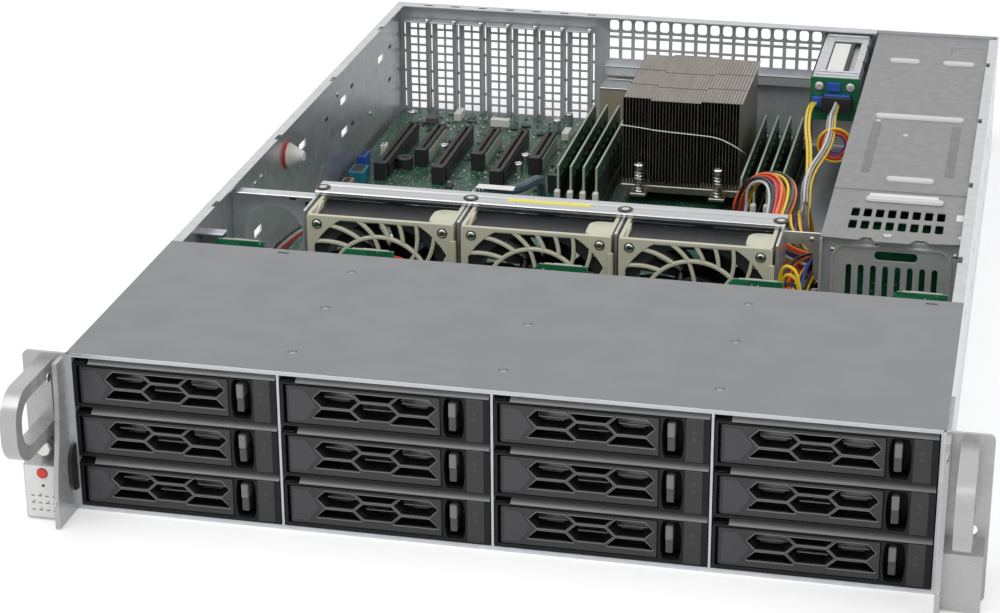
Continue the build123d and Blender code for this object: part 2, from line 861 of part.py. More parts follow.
def memory_xs():
    """The middle of each memory socket, four on either side of the heatsink."""
    left = heatsink_x - heatsink_width / 2 - memory_gap_left
    right = heatsink_x + heatsink_width / 2 + memory_gap_right
    xs = [left - index * memory_pitch for index in range(memory_count)]
    return xs + [right + index * memory_pitch for index in range(memory_count)]


def memory_socket(x):
    """A slim socket with a groove that the module stands in."""
    half = socket_width / 2
    y0 = memory_front
    y1 = memory_y + memory_length / 2 + memory_latch
    body = block(x - half, x + half, y0, y1, board_top, board_top + socket_height)
    groove = memory_sheet / 2
    floor_z = board_top + socket_height - seat_depth
    ends = (y0 + memory_latch, y1 - memory_latch)
    body -= block(x - groove, x + groove, *ends, floor_z, board_top + socket_height)
    return body


def memory_module(x):
    """One memory module, seated in its groove."""
    z0 = board_top + socket_height - seat_depth
    half = memory_sheet / 2
    y0 = memory_y - memory_length / 2
    return block(x - half, x + half, y0, y0 + memory_length, z0, z0 + memory_height)


def board_connectors():
    """The power connector, data connectors, port block, processor and buzzer on the board."""
    sizes = [(power_plug_x, power_plug_y, power_plug), (spare_plug_x, spare_plug_y, spare_plug)]
    sizes += [(x, data_plug_y, data_plug) for x in (*data_plug_x, *side_plug_x)]
    pieces = []
    for x, y, (width, length, height) in sizes:
        spot = (x - width / 2, x + width / 2, y - length / 2, y + length / 2)
        pieces.append(block(*spot, board_top, board_top + height))
    port_x = (grille_left, grille_left + port_width)
    pieces.append(block(*port_x, board_back - port_depth, board_back, board_top, board_top + port_height))
    half = processor_size / 2
    spot = (heatsink_x - half, heatsink_x + half, heatsink_y - half, heatsink_y + half)
    pieces.append(block(*spot, board_top, heatsink_low))
    buzzer = Pos(buzzer_x, buzzer_y, board_top + buzzer_height / 2)
    pieces.append(buzzer * Cylinder(buzzer_radius, buzzer_height))
    return pieces


def heatsink():
    """A comb of upright fins on a base plate, extruded along the air flow."""
    half = heatsink_width / 2
    count = math.floor((heatsink_width - fin_sheet) / fin_pitch) + 1
    comb = patch(-half, half, heatsink_low, heatsink_low + heatsink_base)
    spots = GridLocations(fin_pitch, 1, count, 1)
    fin_middle = (heatsink_low + heatsink_high) / 2
    comb += [Pos(0, fin_middle) * spot * Rectangle(fin_sheet, heatsink_high - heatsink_low) for spot in spots]
    return Pos(heatsink_x, 0, 0) * upright(comb, heatsink_y - heatsink_length / 2, heatsink_length)


def slot_cover_x(index):
    """The middle of a slot cover, counted from the left wall."""
    return -inside + slot_cover_start + (index + 0.5) * slot_pitch


def slot_covers():
    """The perforated covers, each with a tab at its top that is folded forward."""
    covers = []
    y1 = rear - sheet
    half = cover_width / 2
    holes_z = cover_floor + cover_height / 2
    for index in range(cover_count):
        x = slot_cover_x(index)
        sheet_profile = patch(x - half, x + half, cover_floor, cover_floor + cover_height)
        squares = (column_pitch, square_pitch, 2, square_rows, square_size, square_size)
        sheet_profile -= grid(x, holes_z, *squares)
        cover = upright(sheet_profile, y1 - cover_sheet, cover_sheet)
        top = cover_floor + cover_height
        cover += block(x - half, x + half, y1 - cover_tab, y1, top - cover_sheet, top)
        covers.append(cover)
    return covers


def rear_panel():
    """The rear wall with windows for cards, ports, supplies and the small bay, and its grille."""
    wall = patch(-inside, inside, floor, chassis_height)
    for index in range(cover_count):
        x = slot_cover_x(index)
        half = column_pitch / 2 + square_size / 2 + 0.6
        wall -= patch(x - half, x + half, cover_floor + 1.5, cover_floor + cover_height - 1.5)
    middle = (grille_left + grille_right) / 2
    for share in grille_rows:
        z = chassis_height * share
        wall -= grid(middle, z, grille_pitch, 1, grille_columns, 1, grille_hole, grille_hole)
    port_top = board_top + port_height + port_gap
    ports = (grille_left - port_gap, grille_left + port_width + port_gap)
    wall -= patch(*ports, board_low, port_top)
    half = small_bay_width / 2 - small_bay_drop
    window_z = (small_bay_bottom + small_bay_drop, small_bay_top - small_bay_gap)
    wall -= patch(small_bay_x - half, small_bay_x + half, *window_z)
    wall -= patch(cage_left + sheet, inside - sheet, floor, shelf_z)
    wall -= patch(cage_left + sheet, inside - sheet, shelf_z + sheet, cage_top - sheet)
    panel = upright(wall, rear - sheet, sheet)
    return panel + block(-inside, cage_left - 1.0, rear - rear_flange, rear - sheet, roof, chassis_height)


def rear_drive_bay():
    """The small bay: an open bracket from the rear wall with one slim drive and its board."""
    half = small_bay_width / 2
    low = small_bay_bottom
    high = small_bay_top
    y1 = rear - sheet
    y0 = y1 - small_bay_length
    profile = patch(small_bay_x - half, small_bay_x + half, low, high)
    profile -= patch(small_bay_x - half + sheet, small_bay_x + half - sheet, low + sheet, high - sheet)
    bracket = upright(profile, y0, small_bay_length)
    drive_half = half - sheet
    slim_y = (y0 + small_drive_front, y1 - small_drive_rear)
    slim_z = (low + sheet, high - sheet - small_bay_gap)
    slim = block(small_bay_x - drive_half, small_bay_x + drive_half, *slim_y, *slim_z)
    board_y = y0 - board_sheet
    face = patch(small_bay_x - half, small_bay_x + half, high - small_board_height, high)
    board = upright(face, board_y, board_sheet)
    plug_width, plug_depth, plug_height = small_plug
    plug_middle = small_bay_x + small_drive_rear
    plug_x = (plug_middle - plug_width / 2, plug_middle + plug_width / 2)
    plug_top = high - small_plug_drop
    plug = block(*plug_x, board_y - plug_depth, board_y, plug_top - plug_height, plug_top)
    return [bracket, slim, board, plug]


def handle_outline():
    """The D of a rack handle in Y and Z, open in the middle for the fingers."""
    root = front - ear_sheet
    tip = root - handle_reach
    top = chassis_height - handle_top_gap
    half_round = 0.45 * (top - handle_bottom)
    outer = patch(tip, root, handle_bottom, top)
    outer = fillet(outer.vertices().group_by(Axis.X)[0], min(handle_radius, half_round))
    inner = patch(tip + handle_strap, root, handle_bottom + handle_strap, top - handle_strap)
    inner_round = 0.45 * (top - handle_bottom - 2 * handle_strap)
    inner = fillet(inner.vertices().group_by(Axis.X)[0], min(handle_inner_radius, inner_round))
    root_bar = patch(root - handle_root, root, handle_bottom, top)
    return outer - inner + root_bar


def ear_wall_outline():
    """The side wall of an ear in Y and Z, with a front edge that sweeps forward to the bottom."""
    root = front
    top = (root - ear_wall_top, chassis_height - 1.0)
    bottom = (root - ear_wall_bottom, 0.5)
    edge = Bezier(top, (top[0], bottom[1] + ear_sweep_low), (bottom[0], top[1] - ear_sweep_high), bottom)
    back = Polyline(bottom, (root, bottom[1]), (root, top[1]), top)
    return make_face([edge, *back.edges()])


def ear(side):
    """A rack ear: flange with its rack hole, leg along the chassis, forward wall and lower box."""
    wall = chassis_width / 2
    edge = panel_width / 2
    x0, x1 = min(side * wall, side * edge), max(side * wall, side * edge)
    flange = patch(x0, x1, 0, chassis_height)
    corners = flange.vertices().group_by(Axis.X)[0 if side < 0 else -1]
    flange = fillet(corners, ear_corner)
    flange -= Pos(side * (edge - rack_hole_inset), rack_hole_height) * Circle(rack_hole_radius)
    body = upright(flange, front - ear_sheet, ear_sheet)
    leg = patch(front - ear_sheet, front + ear_leg, ear_leg_bottom, roof - ear_leg_gap)
    body += lengthwise(leg, wall if side > 0 else -wall - ear_sheet, ear_sheet)
    forward = lengthwise(ear_wall_outline(), wall if side > 0 else -wall - ear_wall_sheet, ear_wall_sheet)
    body += forward
    foot_in = wall + ear_wall_sheet
    foot_out = edge - ear_side_gap
    a, b = min(side * foot_in, side * foot_out), max(side * foot_in, side * foot_out)
    foot_root = front - ear_sheet
    profile = Polyline(
        (foot_root, 1.0),
        (foot_root - foot_depth, 1.0),
        (foot_root - foot_depth, foot_height),
        (foot_root, foot_height + foot_slope),
        close=True,
    )
    return body + lengthwise(make_face(profile), a, b - a)


def ear_handle(side):
    """The handle, a loop of flat strap with bevelled edges, standing on the flange."""
    middle = (chassis_width + panel_width) / 4 * side
    loop = lengthwise(handle_outline(), middle - handle_width / 2, handle_width)
    return loop


def control_ear():
    """The left ear with the button well and the reset hole in its lower box."""
    body = ear(-1)
    x = -(chassis_width + panel_width) / 4
    face = front - ear_sheet - foot_depth
    well = Pos(x, power_button_height) * Circle(power_button_radius + pin_clearance)
    well_depth = power_button_length - power_button_proud + power_button_travel + power_well_gap
    body -= upright(well, face, well_depth)
    pinhole = Pos(x, reset_hole_height) * Circle(reset_hole_radius)
    return body - upright(pinhole, face, reset_hole_depth)


def power_button():
    """The round button, which stands a little proud of the control panel."""
    x = -(chassis_width + panel_width) / 4
    face = front - ear_sheet - foot_depth
    disc = Pos(x, power_button_height) * Circle(power_button_radius)
    return upright(disc, face - power_button_proud, power_button_length)


def bend_radii(points):
    """A radius for each corner of a cable's route, as large as its two runs allow."""
    radii = []
    for before, corner, after in zip(points, points[1:], points[2:]):
        run_in = Vector(*corner) - Vector(*before)
        run_out = Vector(*after) - Vector(*corner)
        turn = math.radians(run_in.get_angle(run_out))
        radii.append(0.45 * min(run_in.length, run_out.length) / math.tan(turn / 2))
    return radii


def cable(name, diameter, points):
    """A cable as a six-sided tube along straight runs joined by tangent arcs."""
    radii = bend_radii(points)
    path = FilletPolyline(*points, radius=radii)
    start = Plane(origin=path @ 0, z_dir=path % 0)
    section = RegularPolygon(diameter / 2, cable_sides)
    tube = sweep(start * section, path=path)
    share = tube.volume / (section.area * path.length)
    print(name, "radii", [round(radius, 1) for radius in radii], "volume share", round(share, 4))
    return tube


def cable_harness():
    """The cables between the power board, the motherboard, the small bay and the backplane."""
    x = outlet_x
    y = power_board_y + board_sheet + outlet_half
    low, middle, high = outlet_heights
    power_x, power_y = power_plug_x, power_plug_y
    spare_x, spare_y = spare_plug_x, spare_plug_y
    data_y = data_plug_y
    left, right = data_plug_x
    small_z = small_bay_top - small_plug_drop - small_plug[2] / 2
    routes = {
        "board_power": (
            bundle_diameter,
            [
                (x, y, high),
                (x - 17.0, y, high),
                (x - 35.0, y + 27.0, high + 5.0),
                (x - 34.0, y + 87.0, high + 8.0),
                (x - 44.0, y + 119.0, high + 7.0),
                (power_x + 8.5, power_y + 4.0, power_plug_top + 37.0),
                (power_x, power_y + 4.0, power_plug_top + 14.0),
                (power_x, power_y + 4.0, power_plug_top),
            ],
        ),
        "board_spare": (
            bundle_diameter,
            [
                (x, y, middle),
                (x - 17.0, y, middle),
                (x - 36.0, y + 26.0, middle + 4.0),
                (spare_x + 6.5, spare_y - 16.0, middle + 10.0),
                (spare_x, spare_y, spare_plug_top + 20.0),
                (spare_x, spare_y, spare_plug_top),
            ],
        ),
        "small_bay": (
            lead_diameter,
            [
                (x, y, low),
                (x - 20.0, y, low),
                (x - 32.0, y + 22.0, low + 10.0),
                (x - 20.0, y + 76.0, low + 30.0),
                (x - 26.0, y + 130.0, low + 36.0),
                (small_bay_x + 6.0, y + 186.0, low + 38.0),
                (small_bay_x + 2.0, small_plug_y - 36.0, small_z + 4.0),
                (small_bay_x + 2.0, small_plug_y - 14.0, small_z),
                (small_bay_x + 2.0, small_plug_y, small_z),
            ],
        ),
        "board_data": (
            lead_diameter,
            [
                (left, data_y, data_plug_top),
                (left, data_y, data_plug_top + 18.0),
                (left + 16.0, data_y + 6.0, data_plug_top + 28.0),
                (right - 16.0, data_y + 4.0, data_plug_top + 27.0),
                (right, data_y, data_plug_top + 18.0),
                (right, data_y, data_plug_top),
            ],
        ),
    }
    return [cable(name, diameter, points) for name, (diameter, points) in routes.items()]


def build():
    """Makes every sub-part and writes it to its own file."""
    os.makedirs("parts", exist_ok=True)
    save("chassis_tray", chassis_tray())
    save("drive_bay_cover", drive_bay_cover())
    save("drive_cage", drive_cage())
    tray, disk, swing, release = carrier(), drive(), lever(), button()
    for ending, place in bay_places():
        save(f"carrier_{ending}", place * tray, place * disk)
        save(f"lever_{ending}", place * swing)
        save(f"button_{ending}", place * release)
    save("backplane", *backplane())
    xs = fan_places()
    save("fan_housings", *[fan_housing(x) for x in xs])
    for index, x in enumerate(xs):
        save(f"fan_rotor_{index + 1}", fan_rotor(x))
    save("fan_wall", fan_wall())
    save("psu_cage", psu_cage())
    save("power_board", *power_board())
    save("psu_lower", power_supply(floor + psu_gap))
    save("psu_upper", power_supply(shelf_z + sheet + psu_gap))
    save("motherboard", *motherboard())
    xs = memory_xs()
    save("board_sockets", *card_sockets(), *[memory_socket(x) for x in xs], *board_connectors())
    save("memory_modules", *[memory_module(x) for x in xs])
    save("heatsink", heatsink())
    save("slot_covers", *slot_covers())
    save("rear_panel", rear_panel())
    save("rear_drive_bay", *rear_drive_bay())
    save("ear_left", control_ear(), ear_handle(-1))
    save("ear_right", ear(1), ear_handle(1))
    save("power_button", power_button())
    save("cable_harness", *cable_harness())


build()
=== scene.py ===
"""A two-unit rack server with twelve drive carriers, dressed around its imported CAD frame."""

import logging
import math
import random
from dataclasses import dataclass, field
from enum import Enum
from functools import cache
from typing import Any, Iterable, Sequence

import bmesh
import bpy
from mathutils import Matrix, Vector


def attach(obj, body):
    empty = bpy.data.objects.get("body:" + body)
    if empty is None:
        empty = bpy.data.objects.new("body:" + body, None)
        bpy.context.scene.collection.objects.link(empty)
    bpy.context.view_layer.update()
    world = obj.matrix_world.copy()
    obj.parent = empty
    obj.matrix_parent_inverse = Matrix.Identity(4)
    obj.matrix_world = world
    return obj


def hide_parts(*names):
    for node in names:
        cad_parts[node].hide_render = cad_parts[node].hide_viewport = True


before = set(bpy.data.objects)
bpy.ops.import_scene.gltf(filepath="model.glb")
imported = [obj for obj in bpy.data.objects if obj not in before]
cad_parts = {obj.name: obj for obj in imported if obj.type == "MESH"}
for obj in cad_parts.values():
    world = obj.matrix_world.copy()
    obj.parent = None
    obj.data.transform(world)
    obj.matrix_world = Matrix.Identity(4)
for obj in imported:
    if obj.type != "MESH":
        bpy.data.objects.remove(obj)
log = logging.getLogger("rack_server")

MM = 0.001
FRONT = -324.0
REAR = 324.0
INSIDE = 217.3
ROOF = 86.8
FLOOR = 1.2
CHASSIS = "chassis"

Point2 = tuple[float, float]
Point3 = tuple[float, float, float]
Tree = bpy.types.NodeTree
Socket = bpy.types.NodeSocket
UP = (0, 0, 1)
FORWARD = (0, -1, 0)
UPRIGHT = (90, 0, 0)
QUARTER_TURNS = (0, 90)


class Facing(Enum):
    """Which way a flat drawing faces once it stands in the server."""

    FRONT = Matrix(((1, 0, 0, 0), (0, 0, -1, 0), (0, 1, 0, 0), (0, 0, 0, 1)))
    SIDE = Matrix(((0, 0, 1, 0), (1, 0, 0, 0), (0, 1, 0, 0), (0, 0, 0, 1)))
    TOP = Matrix.Identity(4)

    def corner(self, across: float, up: float, place: float) -> Point3:
        """A point of the drawing, at a place along the axis that the drawing faces."""
        if self is Facing.FRONT:
            return (across, place, up)
        if self is Facing.SIDE:
            return (place, across, up)
        return (across, up, place)


def wire(tree: Tree, kind: str, inputs: dict[Any, Any] | None = None, **settings: Any) -> bpy.types.Node:
    """Adds a node to a tree, sets it and joins it up.

    Args:
        tree: The material's or the Geometry Nodes tree.
        kind: The node's type name.
        inputs: Values or output sockets for the node's inputs, by name or number.
        settings: Properties of the node itself.

    Returns:
        The new node.
    """
    node = tree.nodes.new(kind)
    for key, value in settings.items():
        setattr(node, key, value)
    for key, value in (inputs or {}).items():
        if isinstance(value, Socket):
            tree.links.new(value, node.inputs[key])
        else:
            node.inputs[key].default_value = value
    return node


def maths(tree: Tree, operation: str, first: Any, second: Any) -> Socket:
    """A sum of two numbers or sockets."""
    return wire(tree, "ShaderNodeMath", {0: first, 1: second}, operation=operation).outputs[0]


def mixed(tree: Tree, share: Any, low: Any, high: Any) -> Socket:
    """Two colours mixed by a share."""
    return wire(tree, "ShaderNodeMix", {0: share, 6: low, 7: high}, data_type="RGBA").outputs[2]


def linked(name: str, data: bpy.types.ID) -> bpy.types.Object:
    """A new object in the scene that shows some data."""
    made = bpy.data.objects.new(name, data)
    bpy.context.scene.collection.objects.link(made)
    return made


def meshed(curve: bpy.types.Curve) -> bpy.types.Mesh:
    """The mesh that a curve draws. The curve is used up."""
    holder = linked("drawing", curve)
    mesh = bpy.data.meshes.new_from_object(holder.evaluated_get(bpy.context.evaluated_depsgraph_get()))
    bpy.data.objects.remove(holder)
    bpy.data.curves.remove(curve)
    return mesh


@dataclass(frozen=True)
class Finish:
    """A surface: its colour and gloss, the mottling over it and the grain in it.

    Sizes are in millimetres. stretch draws the grain out along an axis, as brushing and rolling do.
    """

    name: str
    colour: Point3
    metallic: float = 0.0
    roughness: float = 0.5
    mottle: float = 0.08
    mottle_size: float = 18.0
    grain: float = 0.15
    grain_size: float = 0.5
    stretch: Point3 = (1.0, 1.0, 1.0)
    gloss_spread: float = 0.08
    specular: float = 0.5

    def coordinates(self, tree: Tree) -> Socket:
        """The object's own coordinates in millimetres, drawn out by the stretch."""
        place = wire(tree, "ShaderNodeTexCoord")
        scale = tuple(1000.0 / value for value in self.stretch)
        mapping = wire(tree, "ShaderNodeMapping", {"Vector": place.outputs["Object"], "Scale": scale})
        return mapping.outputs["Vector"]

    def noise(self, tree: Tree, where: Socket, size: float, detail: float = 3.0) -> Socket:
        """Soft noise whose blots are about size millimetres across."""
        return wire(
            tree, "ShaderNodeTexNoise", {"Vector": where, "Scale": 1.0 / size, "Detail": detail},
        ).outputs["Fac"]

    def paint(self, tree: Tree, where: Socket) -> Socket | None:
        """The colour as it strays over the surface."""
        blots = self.noise(tree, where, self.mottle_size)
        low = tuple(value * (1 - self.mottle) for value in self.colour) + (1.0,)
        high = tuple(min(1.0, value * (1 + self.mottle)) for value in self.colour) + (1.0,)
        return mixed(tree, blots, low, high)

    def relief(self, tree: Tree, where: Socket) -> Socket:
        """The height of the grain."""
        return self.noise(tree, where, self.grain_size, 2.0)

    def material(self) -> bpy.types.Material:
        """The material, made the first time it is asked for."""
        known = bpy.data.materials.get(self.name)
        if known is not None:
            return known
        material = bpy.data.materials.new(self.name)
        material.use_nodes = True
        material.diffuse_color = (*self.colour, 1.0)
        tree = material.node_tree
        shader = tree.nodes["Principled BSDF"]
        where = self.coordinates(tree)
        tree.links.new(self.paint(tree, where), shader.inputs["Base Color"])
        shader.inputs["Metallic"].default_value = self.metallic
        shader.inputs["Specular IOR Level"].default_value = self.specular
        smears = self.noise(tree, where, self.mottle_size * 0.4)
        gloss = wire(
            tree,
            "ShaderNodeMapRange",
            {
                "Value": smears,
                "From Min": 0.3,
                "From Max": 0.7,
                "To Min": max(0.02, self.roughness - self.gloss_spread),
                "To Max": min(1.0, self.roughness + self.gloss_spread),
            },
        )
        tree.links.new(gloss.outputs["Result"], shader.inputs["Roughness"])
        bump = wire(
            tree, "ShaderNodeBump",
            {"Height": self.relief(tree, where), "Strength": self.grain, "Distance": 0.0001},
        )
        tree.links.new(bump.outputs["Normal"], shader.inputs["Normal"])
        return material


@dataclass(frozen=True)
class CircuitBoard(Finish):
    """A solder-masked board with traces that run square and small tinned pads."""

    trace_pitch: float = 1.6
    pad_pitch: float = 3.2

    def paint(self, tree: Tree, where: Socket) -> Socket:
        """Traces in a lighter tone in patches, with pads between them."""
        base = super().paint(tree, where)
        lighter = tuple(min(1.0, value * 1.9 + 0.01) for value in self.colour) + (1.0,)
        lines = []
        for direction in ("X", "Y"):
            wave = wire(
                tree,
                "ShaderNodeTexWave",
                {"Vector": where, "Scale": 1.0 / self.trace_pitch, "Distortion": 0.0},
                wave_type="BANDS",
                bands_direction=direction,
            )
            lines.append(maths(tree, "GREATER_THAN", wave.outputs["Fac"], 0.7))
        patches = wire(
            tree, "ShaderNodeTexVoronoi", {"Vector": where, "Scale": 1.0 / 14.0}, distance="CHEBYCHEV",
        )
        which = wire(tree, "ShaderNodeSeparateColor", {"Color": patches.outputs["Color"]})
        turn = maths(tree, "GREATER_THAN", which.outputs[0], 0.5)
        traces = wire(tree, "ShaderNodeMix", {0: turn, 2: lines[0], 3: lines[1]}).outputs[0]
        bare = maths(tree, "GREATER_THAN", which.outputs[1], 0.35)
        traces = maths(tree, "MULTIPLY", traces, bare)
        traced = mixed(tree, traces, base, lighter)
        dots = wire(
            tree, "ShaderNodeTexVoronoi", {"Vector": where, "Scale": 1.0 / self.pad_pitch, "Randomness": 0.7},
        )
        pads = maths(tree, "LESS_THAN", dots.outputs["Distance"], 0.17)
        tin = (0.55, 0.56, 0.52, 1.0)
        return mixed(tree, pads, traced, tin)


@dataclass(frozen=True)
class Spangled(Finish):
    """Galvanised sheet, whose zinc lies in faint crystals."""

    crystal: float = 7.0

    def paint(self, tree: Tree, where: Socket) -> Socket:
        """The mottled colour with each crystal a little lighter or darker."""
        base = super().paint(tree, where)
        crystals = wire(tree, "ShaderNodeTexVoronoi", {"Vector": where, "Scale": 1.0 / self.crystal})
        tone = wire(tree, "ShaderNodeSeparateColor", {"Color": crystals.outputs["Color"]}).outputs[0]
        shade = wire(
            tree, "ShaderNodeMapRange",
            {"Value": tone, "To Min": 1.0 - self.mottle, "To Max": 1.0 + self.mottle}
        ).outputs["Result"]
        return wire(tree, "ShaderNodeVectorMath", {0: base, "Scale": shade}, operation="SCALE").outputs[0]


ZINC = Spangled(
    "zinc_sheet", (0.56, 0.575, 0.6), metallic=0.4, roughness=0.38, mottle=0.05, grain=0.08, crystal=5.0,
)
COVER = Finish(
    "cover_satin", (0.235, 0.24, 0.252), metallic=0.5, roughness=0.4, mottle=0.03, mottle_size=60.0,
    grain=0.12, grain_size=0.35,
)
EAR = Finish(
    "ear_silver_paint", (0.46, 0.46, 0.465), metallic=0.4, roughness=0.3, mottle=0.02, grain=0.1,
    grain_size=0.4,
)
TRAY = Spangled(
    "tray_zinc", (0.6, 0.61, 0.63), metallic=0.85, roughness=0.36, mottle=0.05, grain=0.08, crystal=5.0,
)
CARRIER = Finish(
    "carrier_black_moulding", (0.008, 0.008, 0.009), roughness=0.28, mottle=0.15, grain=0.2, grain_size=0.3,
    specular=0.22,
)
LEVER = Finish(
    "lever_black_gloss", (0.032, 0.032, 0.033), roughness=0.2, mottle=0.12, grain=0.12, grain_size=0.3,
    specular=0.4,
)
PAD = Finish(
    "thumb_pad_grey", (0.055, 0.053, 0.061), roughness=0.24, mottle=0.05, grain=0.1, grain_size=0.3,
    specular=0.4,
)
LEDGE = Finish(
    "ledge_grey", (0.2, 0.2, 0.203), roughness=0.3, mottle=0.06, grain=0.12, grain_size=0.3, specular=0.4,
)
SLAB = Finish("button_slab_black", (0.07, 0.07, 0.072), roughness=0.25, mottle=0.1, grain=0.1)
# Near-black for the lever's funnels, the plate behind them and the button's recess: painted shade in the
# hollows.
HOLLOW_SHADE = Finish(
    "cell_hollow_painted_shade", (0.004, 0.004, 0.005), roughness=0.5, mottle=0.15, grain=0.1, specular=0.12,
)
# Pale grey for the lever's cell rims and the bars in its cells: a painted highlight on the black plastic's
# edges.
RIM_GLINT = Finish("cell_rim_painted_highlight", (0.19, 0.19, 0.193), roughness=0.24, mottle=0.1, grain=0.1)
BOARD = CircuitBoard(
    "board_green_mask", (0.014, 0.066, 0.036), roughness=0.35, grain=0.2, mottle=0.25, specular=0.6,
)
BACKBOARD = CircuitBoard(
    "backplane_green_mask", (0.01, 0.14, 0.06), roughness=0.3, grain=0.15, mottle=0.1, trace_pitch=2.4,
)
SOCKET = Finish("socket_black_plastic", (0.02, 0.02, 0.022), roughness=0.42, mottle=0.15, grain=0.2)
CREAM = Finish(
    "fan_cream_plastic", (0.6, 0.585, 0.46), roughness=0.42, mottle=0.05, mottle_size=12.0, grain=0.25,
    grain_size=0.8,
)
ROTOR = Finish("rotor_black_plastic", (0.008, 0.008, 0.009), roughness=0.3, mottle=0.1, specular=0.3)
FIN = Finish(
    "fin_nickel_brown", (0.3, 0.275, 0.235), metallic=0.9, roughness=0.36, mottle=0.1, mottle_size=9.0,
    stretch=(1.0, 6.0, 1.0),
)
# The cage's one sheet in two tones: the roof's darker copy is painted shade, and the walls' and front's
# lighter copy is painted light.
SHADED_SHEET = Spangled(
    "cage_sheet_painted_shade", (0.25, 0.25, 0.252), metallic=0.3, roughness=0.42, mottle=0.04, grain=0.08, crystal=4.0,
)
LIT_SHEET = Spangled(
    "cage_front_sheet_painted_light", (0.46, 0.46, 0.47), metallic=0.3, roughness=0.4, mottle=0.04, grain=0.08, crystal=4.0,
)
SUPPLY = Finish("supply_case", (0.5, 0.5, 0.5), metallic=0.9, roughness=0.38, mottle=0.06)
RED = Finish("power_button_red", (0.75, 0.04, 0.03), roughness=0.28, mottle=0.04)

STEEL = Finish(
    "screw_steel", (0.62, 0.61, 0.59), metallic=1.0, roughness=0.24, mottle=0.06, mottle_size=4.0, grain=0.1,
)
# Black for the linings and blocks in recesses, holes, slots and gaps: painted shade.
SHADE_BLACK = Finish("painted_shade_recess", (0.008, 0.008, 0.009), roughness=0.5, mottle=0.2)
RUBBER = Finish("black_rubber", (0.018, 0.018, 0.019), roughness=0.45, mottle=0.15, grain=0.3)
SMOKED = Finish(
    "fan_body_grey", (0.03, 0.031, 0.033), roughness=0.4, mottle=0.45, mottle_size=14.0, grain=0.2,
    specular=0.3,
)
RAIL = Finish(
    "rail_bright", (0.52, 0.53, 0.54), metallic=0.8, roughness=0.26, mottle=0.03, stretch=(12.0, 1.0, 1.0),
)
# Pale grey for the cage roof's rib crowns and two screws of the small bay: a painted highlight.
HIGHLIGHT_PALE = Finish(
    "painted_highlight_pale", (0.62, 0.62, 0.62), metallic=0.3, roughness=0.3, mottle=0.02, mottle_size=40.0,
    grain=0.05,
)
# Darker grey for the cage roof's shallow grooves: painted shade.
SHADED = Finish("painted_shade_groove", (0.17, 0.17, 0.172), metallic=0.4, roughness=0.4, mottle=0.05, grain=0.1)
LABEL = Finish("bare_pale_label", (0.82, 0.82, 0.81), roughness=0.5, mottle=0.03, grain=0.1)
YELLOW_STRIP = Finish("bare_yellow_strip", (0.85, 0.76, 0.04), roughness=0.45, mottle=0.03, grain=0.1)
WHITE_PLUG = Finish("plug_white", (0.72, 0.71, 0.66), roughness=0.4, mottle=0.04, grain=0.15)
BLUE_PLUG = Finish("plug_blue", (0.02, 0.09, 0.42), roughness=0.38, mottle=0.08)
TEAL_PLUG = Finish("plug_teal", (0.02, 0.2, 0.28), roughness=0.38, mottle=0.08)
TAN_PLUG = Finish("plug_tan", (0.38, 0.22, 0.12), roughness=0.45, mottle=0.08)
BEIGE = Finish(
    "port_plate_beige", (0.5, 0.45, 0.34), metallic=0.5, roughness=0.42, mottle=0.04, mottle_size=30.0,
)
MODULE = CircuitBoard(
    "memory_green_mask", (0.012, 0.065, 0.028), roughness=0.35, mottle=0.15, trace_pitch=0.9, pad_pitch=2.0,
)
PALE_EDGE = Finish("cut_board_edge", (0.36, 0.42, 0.33), roughness=0.6, mottle=0.08, mottle_size=5.0)
CHIP = Finish("chip_black", (0.022, 0.022, 0.024), roughness=0.36, mottle=0.12, mottle_size=6.0, grain=0.3)
GOLD = Finish("contact_gold", (0.72, 0.5, 0.16), metallic=1.0, roughness=0.28, mottle=0.06)
CAN = Finish("capacitor_can", (0.6, 0.6, 0.62), metallic=0.9, roughness=0.25, mottle=0.04)
FERRITE = Finish("inductor_grey", (0.1, 0.1, 0.11), roughness=0.5, mottle=0.2)
WHITE_LEAD = Finish("lead_white", (0.72, 0.72, 0.7), roughness=0.34, mottle=0.04)
GREY_LEAD = Finish("lead_grey", (0.4, 0.4, 0.41), roughness=0.34, mottle=0.06)
BLACK_LEAD = Finish("lead_black", (0.014, 0.014, 0.015), roughness=0.3, mottle=0.1)
RED_LEAD = Finish("lead_red", (0.62, 0.03, 0.02), roughness=0.32, mottle=0.06)
ORANGE_LEAD = Finish("lead_orange", (0.9, 0.17, 0.02), roughness=0.32, mottle=0.05)
YELLOW_LEAD = Finish("lead_yellow", (0.85, 0.6, 0.01), roughness=0.32, mottle=0.05)
GREEN_LEAD = Finish("lead_green", (0.02, 0.3, 0.09), roughness=0.32, mottle=0.06)
BLUE_LEAD = Finish("lead_blue", (0.02, 0.05, 0.3), roughness=0.32, mottle=0.08)
PURPLE_LEAD = Finish("lead_purple", (0.12, 0.03, 0.25), roughness=0.32, mottle=0.08)
SLEEVE = Finish("ribbed_sleeve", (0.035, 0.07, 0.1), roughness=0.42, mottle=0.2, mottle_size=5.0)


